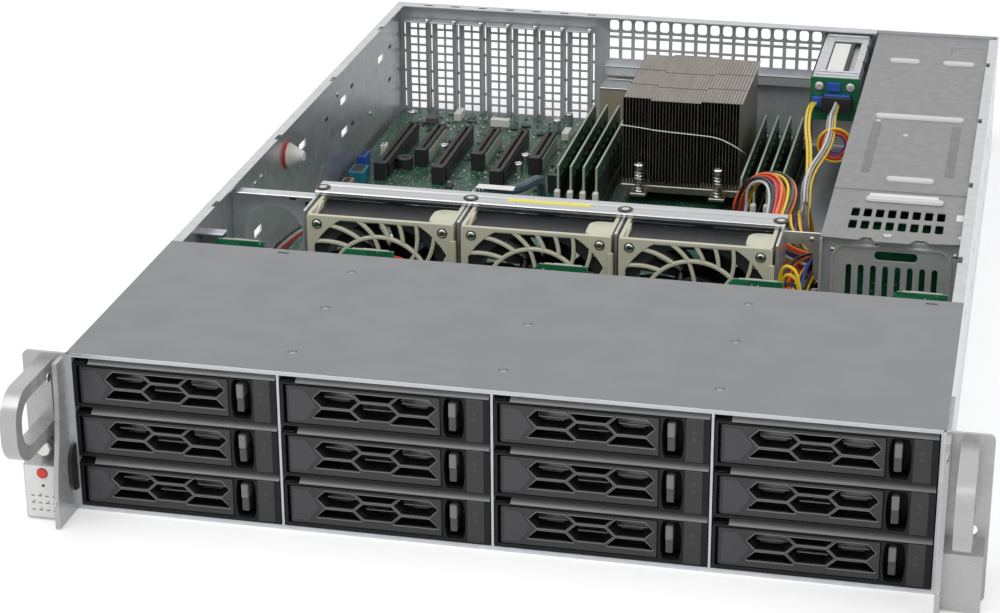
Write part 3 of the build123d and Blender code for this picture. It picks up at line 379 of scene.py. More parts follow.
@dataclass
class Dressing:
    """Which finish each CAD node that stays in view takes."""

    finishes: dict[str, Finish] = field(
        default_factory=lambda: {
            "chassis_tray": TRAY,
            "rear_panel": ZINC,
            "slot_covers": ZINC,
            "drive_bay_cover": COVER,
            "drive_cage": ZINC,
            "backplane": BACKBOARD,
            "fan_wall": ZINC,
            "fan_housings": CREAM,
            "ear_left": EAR,
            "ear_right": EAR,
            "motherboard": BOARD,
            "board_sockets": SOCKET,
            "memory_modules": BOARD,
            "heatsink": FIN,
            "psu_cage": SHADED_SHEET,
            "power_board": BACKBOARD,
            "rear_drive_bay": ZINC,
            "cable_harness": SOCKET,
            "psu_upper": SUPPLY,
            "psu_lower": SUPPLY,
            "power_button": RED,
        }
    )

    def finish_for(self, node: str) -> Finish:
        """The finish of a node, by its name or by the family it belongs to."""
        families = {"carrier": CARRIER, "lever": LEVER, "button": SLAB, "fan_rotor": ROTOR}
        if node in self.finishes:
            return self.finishes[node]
        return next(finish for family, finish in families.items() if node.startswith(family))

    def apply(self) -> None:
        """Gives every CAD node its finish."""
        for name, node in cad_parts.items():
            node.data.materials.clear()
            node.data.materials.append(self.finish_for(name).material())


class Workpiece:
    """The geometry of one piece in millimetres, made a mesh in metres when it is done."""

    def __init__(self, name: str) -> None:
        """Starts an empty piece with that name."""
        self.name = name
        self.mesh = bmesh.new()
        self.finishes: list[Finish] = []

    def _mark(self, faces: Iterable[bmesh.types.BMFace], finish: Finish) -> None:
        """Gives the faces a finish."""
        if finish not in self.finishes:
            self.finishes.append(finish)
        index = self.finishes.index(finish)
        for face in faces:
            face.material_index = index

    def block(self, low: Point3, high: Point3, finish: Finish, bevel: float = 0.0, segments: int = 1) -> None:
        """Adds a box between two corners, with its edges taken off.

        Args:
            low: The lowest corner.
            high: The highest corner.
            finish: What it is finished in.
            bevel: How far the edges are taken off.
            segments: The steps of each rounded edge.
        """
        size = [b - a for a, b in zip(low, high)]
        middle = [(a + b) / 2 for a, b in zip(low, high)]
        made = bmesh.ops.create_cube(
            self.mesh, size=1.0, matrix=Matrix.Translation(middle) @ Matrix.Diagonal((*size, 1.0)),
        )
        faces = {face for vert in made["verts"] for face in vert.link_faces}
        if bevel:
            edges = {edge for face in faces for edge in face.edges}
            self._mark(faces, finish)
            index = self.finishes.index(finish)
            rounded = bmesh.ops.bevel(
                self.mesh, geom=list(edges), offset=bevel, segments=segments, affect="EDGES",
                clamp_overlap=True, material=index
            )
            faces = set(rounded["faces"])
        self._mark(faces, finish)

    def loft(self, rings: Sequence[Sequence[Point3]], finish: Finish, closed_ends: bool = True) -> None:
        """Adds a skin through rings that have the same number of corners.

        Args:
            rings: The rings' corners, in order along the piece.
            finish: What it is finished in.
            closed_ends: Whether the first and last rings are filled.
        """
        rows = [[self.mesh.verts.new(corner) for corner in ring] for ring in rings]
        count = len(rows[0])
        made = []
        for near, far in zip(rows, rows[1:]):
            for index in range(count):
                following = (index + 1) % count
                made.append(self.mesh.faces.new((near[index], near[following], far[following], far[index])))
        if closed_ends:
            made.append(self.mesh.faces.new(list(reversed(rows[0]))))
            made.append(self.mesh.faces.new(rows[-1]))
        self._mark(made, finish)

    def layers(
        self, lines: Iterable[tuple[Sequence[Point2], float]], facing: Facing, finish: Finish,
        closed_ends: bool = False
    ) -> None:
        """Adds a skin through flat outlines, each with its place along the axis that they face."""
        rings = [[facing.corner(a, b, place) for a, b in line] for line, place in lines]
        self.loft(rings, finish, closed_ends)

    def plate(
        self,
        outline: Sequence[Point2],
        holes: Iterable[Sequence[Point2]],
        facing: Facing,
        start: float,
        depth: float,
        finish: Finish,
        bevel: float = 0.0,
        rounds: int = 1,
    ) -> None:
        """Adds a flat plate with holes through it, drawn as a filled curve.

        Args:
            outline: The plate's outline as it is drawn.
            holes: The outlines of the holes.
            facing: Which way the drawing faces.
            start: Where its near face lies along that direction's axis.
            depth: The plate's thickness, counted backwards from the near face.
            finish: What it is finished in.
            bevel: How far the edges are taken off.
            rounds: The steps of each rounded edge.
        """
        curve = bpy.data.curves.new("drawing", "CURVE")
        curve.dimensions = "2D"
        curve.fill_mode = "BOTH"
        curve.extrude = max(depth / 2 - bevel, 0.0)
        curve.bevel_depth = bevel
        curve.bevel_resolution = rounds - 1
        curve.offset = -bevel
        for line in (outline, *holes):
            spline = curve.splines.new("POLY")
            spline.points.add(len(line) - 1)
            for point, (x, y) in zip(spline.points, line):
                point.co = (x, y, 0.0, 1.0)
            spline.use_cyclic_u = True
        middle = start + depth / 2 if facing is Facing.FRONT else start - depth / 2
        self.take(meshed(curve), finish, Matrix.Translation(facing.corner(0, 0, middle)) @ facing.value)

    def take(self, mesh: bpy.types.Mesh, finish: Finish, place: Matrix | None = None) -> None:
        """Moves a mesh's geometry into this piece, and removes the mesh."""
        if place is not None:
            mesh.transform(place)
        for polygon in mesh.polygons:
            polygon.material_index = 0
        before = set(self.mesh.faces)
        self.mesh.from_mesh(mesh)
        self._mark([face for face in self.mesh.faces if face not in before], finish)
        bpy.data.meshes.remove(mesh)

    def disc(
        self, centre: Point3, axis: Point3, profile: Sequence[Point2], finish: Finish, steps: int = 24
    ) -> None:
        """Adds a turned form.

        Args:
            centre: Where its profile starts.
            axis: The direction that it is turned about.
            profile: Radius and height of each ring along the axis.
            finish: What it is finished in.
            steps: How many sides each ring has.
        """
        turn = Vector(axis).to_track_quat("Z", "Y").to_matrix()
        rings = []
        for radius, height in profile:
            ring = []
            for step in range(steps):
                angle = math.tau * step / steps
                corner = turn @ Vector((radius * math.cos(angle), radius * math.sin(angle), height))
                ring.append(tuple(corner + Vector(centre)))
            rings.append(ring)
        self.loft(rings, finish)

    def repeat(
        self, unit: "Workpiece", places: Sequence[Matrix], finish: Finish, wobble: float = 0.0, seed: int = 1,
    ) -> None:
        """Sets a unit at each place with Geometry Nodes.

        Args:
            unit: The form to repeat, which is used up.
            places: Where each one stands, with its turn and scale.
            finish: What they are finished in.
            wobble: The most that each is turned about its own axis, in degrees.
            seed: What the wobble is drawn from.
        """
        mesh = bpy.data.meshes.new("unit")
        bmesh.ops.recalc_face_normals(unit.mesh, faces=unit.mesh.faces[:])
        unit.mesh.to_mesh(mesh)
        unit.mesh.free()
        holder = linked("unit", mesh)
        values = {"Unit": holder, "Wobble": math.radians(wobble), "Seed": seed, "Finish": finish.material()}
        made = units_on_points().run(point_cloud(places), values)
        bpy.data.objects.remove(holder)
        bpy.data.meshes.remove(mesh)
        self.take(made, finish)

    def perforated(
        self, x: float, z: float, pitch: Point2, count: tuple[int, int], hole: Point2, place: Matrix,
        depth: float, finish: Finish
    ) -> None:
        """Adds a perforated field with Geometry Nodes.

        Args:
            x: The field's middle across the drawing.
            z: The field's middle up the drawing.
            pitch: The holes' pitch across and up.
            count: How many columns and rows there are.
            hole: The width and height of a hole.
            place: Where the drawing stands.
            depth: The sheet's thickness, towards the drawing's own height.
            finish: What it is finished in.
        """
        values = {
            "Width": pitch[0] * count[0], "Height": pitch[1] * count[1], "Columns": count[0],
            "Rows": count[1],
            "Open Across": hole[0] / pitch[0], "Open Up": hole[1] / pitch[1], "Thickness": depth,
            "Finish": finish.material(),
        }
        made = perforated_sheet().run(point_cloud([Matrix.Identity(4)]), values)
        self.take(made, finish, place @ Matrix.Translation((x, z, 0)))

    def spring(
        self, place: Point3, turns: float, radius: float, height: float, gauge: float, finish: Finish,
    ) -> None:
        """Adds an upright coiled spring."""
        values = {
            "Turns": turns, "Radius": radius, "Height": height, "Wire Radius": gauge / 2,
            "Finish": finish.material(),
        }
        made = coiled_spring().run(point_cloud([Matrix.Identity(4)]), values)
        self.take(made, finish, Matrix.Translation(place))

    def moved(self, place: Matrix) -> "Workpiece":
        """Moves everything made so far."""
        bmesh.ops.transform(self.mesh, matrix=place, verts=self.mesh.verts[:])
        return self

    def copy_to(self, name: str, place: Matrix) -> "Workpiece":
        """A second piece of the same shape, moved."""
        twin = Workpiece(name)
        twin.mesh.free()
        twin.mesh = self.mesh.copy()
        twin.finishes = list(self.finishes)
        return twin.moved(place)

    def done(
        self, body: str, slot: str, replaces: Sequence[str] = (), smooth: float = 35.0,
    ) -> bpy.types.Object:
        """Makes the mesh and hands it over to the frame.

        Args:
            body: The CAD body that it rides on.
            slot: The record's material slot; not used.
            replaces: The CAD nodes that it stands for.
            smooth: Edges sharper than this many degrees stay sharp.

        Returns:
            The finished object.
        """
        bmesh.ops.recalc_face_normals(self.mesh, faces=self.mesh.faces[:])
        bmesh.ops.scale(self.mesh, vec=(MM, MM, MM), verts=self.mesh.verts[:])
        mesh = bpy.data.meshes.new(self.name)
        self.mesh.to_mesh(mesh)
        self.mesh.free()
        for finish in self.finishes:
            mesh.materials.append(finish.material())
        made = linked(self.name, mesh)
        mesh.shade_smooth()
        mesh.set_sharp_from_angle(angle=math.radians(smooth))
        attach(made, body)
        if replaces:
            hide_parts(*replaces)
        return made


def rectangle(x0: float, x1: float, y0: float, y1: float) -> list[Point2]:
    """The four corners of a rectangle."""
    return [(x0, y0), (x1, y0), (x1, y1), (x0, y1)]


def clipped(outline: Sequence[Point2], x0: float, x1: float, y0: float, y1: float) -> list[Point2]:
    """An outline cut back to a rectangle, with nothing left where they don't meet."""
    sides = ((0, x0, 1), (0, x1, -1), (1, y0, 1), (1, y1, -1))
    for axis, limit, sign in sides:
        kept: list[Point2] = []
        for index, end in enumerate(outline):
            start = outline[index - 1]
            inside_start = (start[axis] - limit) * sign >= 0
            inside_end = (end[axis] - limit) * sign >= 0
            if inside_start != inside_end:
                share = (limit - start[axis]) / (end[axis] - start[axis])
                kept.append((start[0] + (end[0] - start[0]) * share, start[1] + (end[1] - start[1]) * share))
            if inside_end:
                kept.append(end)
        outline = kept
        if not outline:
            return []
    return list(outline)


def shrunk(outline: Sequence[Point2], share: float) -> list[Point2]:
    """An outline drawn in towards its middle."""
    x = sum(point[0] for point in outline) / len(outline)
    y = sum(point[1] for point in outline) / len(outline)
    return [(x + (a - x) * share, y + (b - y) * share) for a, b in outline]


def circle(x: float, y: float, radius: float, steps: int) -> list[Point2]:
    """The corners of a round outline."""
    turns = [math.tau * step / steps for step in range(steps)]
    return [(x + radius * math.cos(turn), y + radius * math.sin(turn)) for turn in turns]


def rounded(x0: float, x1: float, y0: float, y1: float, radius: float, steps: int = 4) -> list[Point2]:
    """A rectangle with round corners."""
    line = []
    corners = (
        (x1 - radius, y1 - radius, 0), (x0 + radius, y1 - radius, 90), (x0 + radius, y0 + radius, 180),
        (x1 - radius, y0 + radius, 270),
    )
    for x, y, start in corners:
        for step in range(steps + 1):
            angle = math.radians(start + 90 * step / steps)
            line.append((x + radius * math.cos(angle), y + radius * math.sin(angle)))
    return line


class NodeWork:
    """Runs Geometry Nodes trees whose sizes are named inputs, and gives back plain meshes."""

    def __init__(self, name: str, inputs: dict[str, str]) -> None:
        """Starts a tree.

        Args:
            name: The tree's name.
            inputs: The kind of socket of each named input, after the geometry.
        """
        self.tree = bpy.data.node_groups.new(name, "GeometryNodeTree")
        self.sockets: dict[str, str] = {}
        face = self.tree.interface
        face.new_socket("Geometry", in_out="INPUT", socket_type="NodeSocketGeometry")
        for label, kind in inputs.items():
            made = face.new_socket(label, in_out="INPUT", socket_type=f"NodeSocket{kind}")
            self.sockets[label] = made.identifier
        face.new_socket("Geometry", in_out="OUTPUT", socket_type="NodeSocketGeometry")
        self.entry = self.tree.nodes.new("NodeGroupInput").outputs

    def end(self, geometry: Socket) -> None:
        """Realizes the instances, sets the material and closes the tree."""
        real = wire(self.tree, "GeometryNodeRealizeInstances", {0: geometry}).outputs[0]
        dressed = wire(
            self.tree, "GeometryNodeSetMaterial", {"Geometry": real, "Material": self.entry["Finish"]},
        )
        wire(self.tree, "NodeGroupOutput", {0: dressed.outputs[0]})

    def run(self, holder: bpy.types.Object, values: dict[str, Any]) -> bpy.types.Mesh:
        """Evaluates the tree on an object that is then removed.

        Args:
            holder: The object whose mesh goes in.
            values: What each named input is set to.

        Returns:
            The mesh that came out.
        """
        modifier = holder.modifiers.new("work", "NODES")
        modifier.node_group = self.tree
        for label, value in values.items():
            modifier[self.sockets[label]] = value
        bpy.context.view_layer.update()
        depsgraph = bpy.context.evaluated_depsgraph_get()
        mesh = bpy.data.meshes.new_from_object(holder.evaluated_get(depsgraph), depsgraph=depsgraph)
        holder.modifiers.remove(modifier)
        old = holder.data
        bpy.data.objects.remove(holder)
        bpy.data.meshes.remove(old)
        return mesh


def point_cloud(places: Sequence[Matrix]) -> bpy.types.Object:
    """An object with a vertex at each place, which carries its turn and its scale."""
    mesh = bpy.data.meshes.new("places")
    mesh.from_pydata([place.to_translation() for place in places], [], [])
    for label, vectors in (
        ("turn", [place.to_euler() for place in places]),
        ("scale", [place.to_scale() for place in places]),
    ):
        layer = mesh.attributes.new(label, "FLOAT_VECTOR", "POINT")
        layer.data.foreach_set("vector", [value for vector in vectors for value in vector])
    return linked("places", mesh)


@cache
def units_on_points() -> NodeWork:
    """The tree that sets a unit at every point, with a seeded wobble about the unit's axis."""
    work = NodeWork(
        "units_on_points", {"Unit": "Object", "Wobble": "Float", "Seed": "Int", "Finish": "Material"},
    )
    tree, entry = work.tree, work.entry
    unit = wire(tree, "GeometryNodeObjectInfo", {"Object": entry["Unit"], "As Instance": True})
    turn = wire(tree, "GeometryNodeInputNamedAttribute", {"Name": "turn"}, data_type="FLOAT_VECTOR")
    scale = wire(tree, "GeometryNodeInputNamedAttribute", {"Name": "scale"}, data_type="FLOAT_VECTOR")
    chance = wire(
        tree, "FunctionNodeRandomValue", {2: -1.0, 3: 1.0, "Seed": entry["Seed"]}, data_type="FLOAT",
    )
    swing = wire(tree, "ShaderNodeMath", {0: chance.outputs[1], 1: entry["Wobble"]}, operation="MULTIPLY")
    spin = wire(tree, "ShaderNodeCombineXYZ", {"Z": swing.outputs[0]})
    first = wire(tree, "FunctionNodeEulerToRotation", {0: turn.outputs[0]})
    second = wire(tree, "FunctionNodeEulerToRotation", {0: spin.outputs[0]})
    both = wire(
        tree, "FunctionNodeRotateRotation", {0: first.outputs[0], 1: second.outputs[0]},
        rotation_space="LOCAL",
    )
    set_up = wire(
        tree,
        "GeometryNodeInstanceOnPoints",
        {
            "Points": entry["Geometry"], "Instance": unit.outputs["Geometry"], "Rotation": both.outputs[0],
            "Scale": scale.outputs[0],
        },
    )
    work.end(set_up.outputs[0])
    return work


@cache
def perforated_sheet() -> NodeWork:
    """The tree that cuts a rectangular hole in every cell of a sheet and gives it its thickness."""
    sizes = dict.fromkeys(("Width", "Height", "Open Across", "Open Up", "Thickness"), "Float")
    work = NodeWork("perforated_sheet", sizes | {"Columns": "Int", "Rows": "Int", "Finish": "Material"})
    tree, entry = work.tree, work.entry
    across = maths(tree, "ADD", entry["Columns"], 1.0)
    up = maths(tree, "ADD", entry["Rows"], 1.0)
    cells = wire(
        tree, "GeometryNodeMeshGrid",
        {"Size X": entry["Width"], "Size Y": entry["Height"], "Vertices X": across, "Vertices Y": up}
    ).outputs["Mesh"]
    inset = wire(
        tree, "GeometryNodeExtrudeMesh", {"Mesh": cells, "Offset Scale": 0.0, "Individual": True},
        mode="FACES",
    )
    drawn, top = inset.outputs["Mesh"], inset.outputs["Top"]
    for axis, share in (((1.0, 0.0, 0.0), entry["Open Across"]), ((0.0, 1.0, 0.0), entry["Open Up"])):
        drawn = wire(
            tree, "GeometryNodeScaleElements",
            {"Geometry": drawn, "Selection": top, "Scale": share, "Axis": axis},
            domain="FACE", scale_mode="SINGLE_AXIS",
        ).outputs[0]
    bars = wire(
        tree, "GeometryNodeDeleteGeometry", {"Geometry": drawn, "Selection": top}, domain="FACE",
    ).outputs[0]
    bars = wire(tree, "GeometryNodeMergeByDistance", {"Geometry": bars, "Distance": 0.001}).outputs[0]
    up_only = wire(tree, "ShaderNodeCombineXYZ", {"Z": 1.0}).outputs[0]
    thick = wire(
        tree, "GeometryNodeExtrudeMesh",
        {"Mesh": bars, "Offset": up_only, "Offset Scale": entry["Thickness"], "Individual": False},
        mode="FACES",
    ).outputs["Mesh"]
    back = wire(tree, "GeometryNodeFlipFaces", {"Mesh": bars}).outputs[0]
    joined = tree.nodes.new("GeometryNodeJoinGeometry")
    tree.links.new(thick, joined.inputs[0])
    tree.links.new(back, joined.inputs[0])
    whole = wire(
        tree, "GeometryNodeMergeByDistance", {"Geometry": joined.outputs[0], "Distance": 0.001},
    ).outputs[0]
    work.end(whole)
    return work


@cache
def coiled_spring() -> NodeWork:
    """The tree that winds a wire into a spring."""
    sizes = dict.fromkeys(("Turns", "Radius", "Height", "Wire Radius"), "Float")
    work = NodeWork("coiled_spring", sizes | {"Finish": "Material"})
    tree, entry = work.tree, work.entry
    line = wire(
        tree, "GeometryNodeCurveSpiral",
        {
            "Resolution": 14, "Rotations": entry["Turns"], "Start Radius": entry["Radius"],
            "End Radius": entry["Radius"], "Height": entry["Height"],
        },
    ).outputs[0]
    section = wire(
        tree, "GeometryNodeCurvePrimitiveCircle", {"Resolution": 6, "Radius": entry["Wire Radius"]},
    ).outputs[0]
    tube = wire(tree, "GeometryNodeCurveToMesh", {"Curve": line, "Profile Curve": section, "Fill Caps": True})
    work.end(tube.outputs[0])
    return work


def stand(
    x: float, y: float, z: float, turn: Point3 = (0.0, 0.0, 0.0), scale: Point3 = (1.0, 1.0, 1.0),
) -> Matrix:
    """A place with a turn in degrees and a scale."""
    about_x, about_y, about_z = (
        Matrix.Rotation(math.radians(part), 4, axis) for part, axis in zip(turn, "XYZ")
    )
    return Matrix.Translation((x, y, z)) @ about_z @ about_y @ about_x @ Matrix.Diagonal((*scale, 1.0))


@dataclass(frozen=True)
class Fastener:
    """A small screw or rivet, drawn about its own seat with the head upwards."""

    radius: float
    height: float

    def turned(self, name: str, shares: Sequence[Point2], steps: int) -> Workpiece:
        """A turned head, whose profile is in shares of the radius and the height."""
        unit = Workpiece(name)
        profile = [(self.radius * wide, self.height * tall) for wide, tall in shares]
        unit.disc((0, 0, 0), UP, profile, STEEL, steps)
        return unit

    def screw(self) -> Workpiece:
        """A pan-head screw with a cross recess."""
        unit = self.turned("screw", ((1.0, 0.0), (1.0, 0.45), (0.82, 0.85), (0.5, 1.0)), 14)
        reach, half = self.radius * 0.5, self.radius * 0.13
        # The cross recess is slots of painted shade set into the head.
        for angle in QUARTER_TURNS:
            arm = Matrix.Rotation(math.radians(angle), 4, "Z")
            slot = [(arm @ Vector((x, y, 0)))[:2] for x, y in rectangle(-reach, reach, -half, half)]
            unit.layers(
                [(slot, self.height * 0.51), (slot, self.height * 1.01)], Facing.TOP, SHADE_BLACK, closed_ends=True,
            )
        return unit

    def rivet(self) -> Workpiece:
        """A domed rivet."""
        return self.turned("rivet", ((1.0, 0.0), (0.94, 0.4), (0.7, 0.8), (0.3, 1.0)), 12)


@dataclass(frozen=True)
class Bundle:
    """Loose leads that lie side by side along one route.

    Attributes:
        colours: One finish for each lead.
        route: The route's points.
        width: How wide the bundle is at each point.
        height: How high it is at each point.
        seed: What the leads' wander is drawn from.
        gauge: The leads' diameter.
    """

    colours: tuple[Finish, ...]
    route: tuple[Point3, ...]
    width: tuple[float, ...]
    height: tuple[float, ...]
    seed: int
    gauge: float = 1.9


@dataclass
class Wiring:
    """Loose leads, drawn as smooth curves and kept by colour."""

    leads: dict[Finish, list[tuple[float, list[Point3]]]] = field(default_factory=dict)

    def lead(self, colour: Finish, diameter: float, points: Sequence[Point3]) -> None:
        """Adds one lead."""
        self.leads.setdefault(colour, []).append((diameter, [tuple(point) for point in points]))

    def bundle(self, bundle: Bundle) -> None:
        """Adds a bundle's leads."""
        chance = random.Random(bundle.seed)
        route = [Vector(point) for point in bundle.route]
        count = len(bundle.colours)
        spots = [
            ((index + 0.5) / count - 0.5, ((index * 7) % count + 0.5) / count - 0.5) for index in range(count)
        ]
        for colour, (across, up) in zip(bundle.colours, spots):
            line = []
            for index, point in enumerate(route):
                ahead = route[min(index + 1, len(route) - 1)] - route[max(index - 1, 0)]
                ahead.normalize()
                side = ahead.cross(Vector((0, 0, 1)))
                side = side.normalized() if side.length > 0.2 else Vector((1, 0, 0))
                rise = side.cross(ahead).normalized()
                loose = 0.0 if index in (0, len(route) - 1) else bundle.gauge * 0.35
                sideways = side * (across * bundle.width[index] + chance.uniform(-loose, loose))
                upwards = rise * (up * bundle.height[index] + chance.uniform(-loose, loose))
                line.append(tuple(point + sideways + upwards))
            self.lead(colour, bundle.gauge, line)

    def into(self, piece: Workpiece) -> None:
        """Sweeps every lead and puts it into a piece."""
        for colour, lines in self.leads.items():
            for diameter, points in lines:
                piece.take(swept(points, diameter), colour)


def swept(points: Sequence[Point3], diameter: float, sides: int = 2, steps: int = 5) -> bpy.types.Mesh:
    """A round lead along a smooth spline that has those points as its control points."""
    curve = bpy.data.curves.new("lead", "CURVE")
    curve.dimensions = "3D"
    curve.bevel_depth = diameter / 2
    curve.bevel_resolution = sides
    curve.use_fill_caps = True
    curve.resolution_u = steps
    spline = curve.splines.new("NURBS")
    spline.points.add(len(points) - 1)
    for point, place in zip(spline.points, points):
        point.co = (*place, 1.0)
    spline.order_u = 3
    spline.use_endpoint_u = True
    return meshed(curve)


@dataclass
class DriveBays:
    """The twelve drive carriers, each with its swinging lever and its release button."""

    rows: int = 3
    columns: int = 4
    width: float = 106.15
    height: float = 26.63
    front_depth: float = 16.0
    length: float = 163.8
    column_pitch: float = 108.35
    row_pitch: float = 27.73
    bottom_row: float = 2.95
    lever_left: float = -51.075
    lever_right: float = 28.13
    lever_low: float = 2.2
    lever_high: float = 22.33
    lever_thickness: float = 6.0
    pad_length: float = 14.8
    cell_pitch_x: float = 19.8
    cell_pitch_z: float = 9.9
    cell_bar: float = 1.2
    recess_x: float = 35.075
    recess_width: float = 10.5
    recess_height: float = 19.0
    recess_depth: float = 9.0
    rim: float = 0.42
    lever_gap: float = 0.35
    rail_thickness: float = 2.2
    rail_height: float = 22.0
    drive_length: float = 147.0
    drive_height: float = 24.6

    def recess_outline(self) -> list[Point2]:
        """The button's recess, a tall lens whose sides bulge outwards."""
        middle = (self.lever_low + self.lever_high) / 2
        half_high = self.recess_height / 2 + 1.0
        half_wide = self.recess_width / 2
        right = []
        for step in range(13):
            share = -1 + 2 * step / 12
            right.append((half_wide * (1 - 0.36 * share * share), half_high * math.sin(share * math.pi / 2)))
        left = [(-x, z) for x, z in reversed(right)]
        return [(self.recess_x + x, middle + z) for x, z in (*right, *left)]

    def rimmed(self, cell: Sequence[Point2]) -> list[Point2]:
        """A cell's outline drawn out by its rim, whose pale grey is a painted highlight."""
        xs = [x for x, _ in cell]
        zs = [z for _, z in cell]
        x, z = (min(xs) + max(xs)) / 2, (min(zs) + max(zs)) / 2
        wide = 1 + 2 * self.rim / (max(xs) - min(xs))
        tall = 1 + 2 * self.rim / (max(zs) - min(zs))
        return [(x + (a - x) * wide, z + (b - z) * tall) for a, b in cell]

    def bays(self) -> Iterable[tuple[str, Matrix]]:
        """The name ending of each bay with the place of its carrier's lower front edge."""
        for row in range(self.rows):
            for column in range(self.columns):
                x = (column - (self.columns - 1) / 2) * self.column_pitch
                z = self.bottom_row + (self.rows - 1 - row) * self.row_pitch
                yield f"{row + 1}{column + 1}", Matrix.Translation((x, FRONT, z))

    def cells(self) -> list[list[Point2]]:
        """The honeycomb's outlines, long hexagons in staggered columns."""
        high = self.lever_high - 1.6
        low = high - 1.5 * self.cell_pitch_z
        start = self.lever_left + self.pad_length
        end = self.lever_right - 1.6
        height = self.cell_pitch_z - self.cell_bar
        half = (self.cell_pitch_x + self.cell_pitch_z / 2 - self.cell_bar * math.sqrt(2)) / 2
        shoulder = half - height / 2
        found = []
        for column in range(3):
            x = start + half + column * self.cell_pitch_x
            shift = self.cell_pitch_z / 2 if column % 2 else 0.0
            for row in range(-1, 2):
                z = high - height / 2 + shift - row * self.cell_pitch_z
                hexagon = [
                    (x - half, z), (x - shoulder, z - height / 2), (x + shoulder, z - height / 2),
                    (x + half, z), (x + shoulder, z + height / 2), (x - shoulder, z + height / 2),
                ]
                kept = clipped(hexagon, start, end, low, high)
                if len(kept) > 2 and self.area(kept) > height * self.cell_bar:
                    found.append(kept)
        return found

    def area(self, outline: Sequence[Point2]) -> float:
        """The area inside an outline."""
        pairs = zip(outline, [*outline[1:], outline[0]])
        return abs(sum(a[0] * b[1] - b[0] * a[1] for a, b in pairs)) / 2

    def lever(self) -> Workpiece:
        """The swinging front, with a funnel in each cell and a pointed thumb pad."""
        piece = Workpiece("lever")
        heel = self.lever_thickness / 2
        start = self.lever_left + heel
        outline = rectangle(start - 1.1, self.lever_right, self.lever_low, self.lever_high)
        cells = self.cells()
        piece.plate(outline, cells, Facing.FRONT, 0.0, 1.8, LEVER, bevel=0.3, rounds=2)
        for cell in cells:
            # The funnel is painted shade, and the lip round it is a painted highlight.
            funnel = ((1.0, 1.4), (0.93, 2.2), (0.74, 4.6), (0.7, 6.0))
            piece.layers([(shrunk(cell, share), depth) for share, depth in funnel], Facing.FRONT, HOLLOW_SHADE)
            inner, outer = shrunk(cell, 1.004), self.rimmed(shrunk(cell, 0.995))
            lip = ((self.rimmed(cell), 0.1), (outer, -0.2), (inner, -0.2), (cell, 0.6))
            piece.layers(lip, Facing.FRONT, RIM_GLINT)
            xs = [x for x, _ in cell]
            zs = [z for _, z in cell]
            # Tall cells get a small bar in the same painted-highlight grey.
            if max(zs) - min(zs) > 0.8 * self.cell_pitch_z:
                middle = (min(zs) + max(zs)) / 2
                reach = (max(xs) - min(xs)) * 0.3
                centre = (min(xs) + max(xs)) / 2
                piece.block(
                    (centre - reach, 4.4, middle - 0.9), (centre + reach * 1.4, 5.2, middle - 0.4), RIM_GLINT,
                )
        # The plate behind the cells is painted shade too.
        back = rectangle(start + 1.6, self.lever_right, self.lever_low, self.lever_high)
        piece.plate(back, [shrunk(cell, 0.74) for cell in cells], Facing.FRONT, 4.6, 1.4, HOLLOW_SHADE)
        for z0, z1 in ((self.lever_low, self.lever_low + 1.2), (self.lever_high - 1.2, self.lever_high)):
            piece.block((start + 1.6, 1.0, z0), (self.lever_right, 5.2, z1), LEVER, bevel=0.2)
        piece.block(
            (self.lever_right - 1.4, 1.0, self.lever_low), (self.lever_right, 5.2, self.lever_high), LEVER,
            bevel=0.2,
        )
        middle = (self.lever_low + self.lever_high) / 2
        piece.disc(
            (start, heel, self.lever_low + 0.3), UP,
            [(heel, 0), (heel, self.lever_high - self.lever_low - 0.6)], LEVER, 20,
        )
        left = start - 0.3
        tip = self.lever_left + self.pad_length + 1.6
        low, high = self.lever_low + 1.6, self.lever_high - 1.6
        pad = [(left, low), (tip - 6.0, low), (tip, middle), (tip - 6.0, high), (left, high)]
        piece.plate(pad, [], Facing.FRONT, -0.25, 0.5, PAD, bevel=0.2, rounds=2)
        return piece

    def carrier(self) -> Workpiece:
        """The moulded front with its sloped ledge, the side rails and the drive between them."""
        piece = Workpiece("carrier")
        half = self.width / 2
        recess = self.recess_outline()
        gap = self.lever_gap
        pocket = rectangle(
            self.lever_left - gap, self.lever_right + gap, self.lever_low - gap, self.lever_high + gap,
        )
        piece.plate(
            rectangle(-half, half, 0.0, self.height - 2.6), [pocket, recess], Facing.FRONT, 0.0, 1.2, CARRIER,
            bevel=0.25, rounds=2,
        )
        window = rectangle(
            self.lever_left + self.pad_length, self.lever_right - 1.6, self.lever_low + 1.5,
            self.lever_high - 1.5,
        )
        piece.plate(
            rectangle(-half + 0.2, half - 0.2, 0.2, self.height - 2.8), [window, recess], Facing.FRONT, 6.6,
            2.2, CARRIER,
        )
        side, web, high = half - 0.1, self.recess_x - self.recess_width / 2 - 0.4, self.height
        for x0, x1, depth, z0, z1 in (
            (-side, -half + 1.6, 7.0, 0.1, high - 2.7), (half - 1.6, side, 15.8, 0.1, high - 2.7),
            (self.lever_right + 0.4, web, 7.0, 0.1, high - 2.7), (-side, side, 15.8, 0.0, 1.7),
            (-side, side, 7.0, high - 3.6, high - 2.2),
        ):
            piece.block((x0, 1.0, z0), (x1, depth, z1), CARRIER, bevel=0.15)
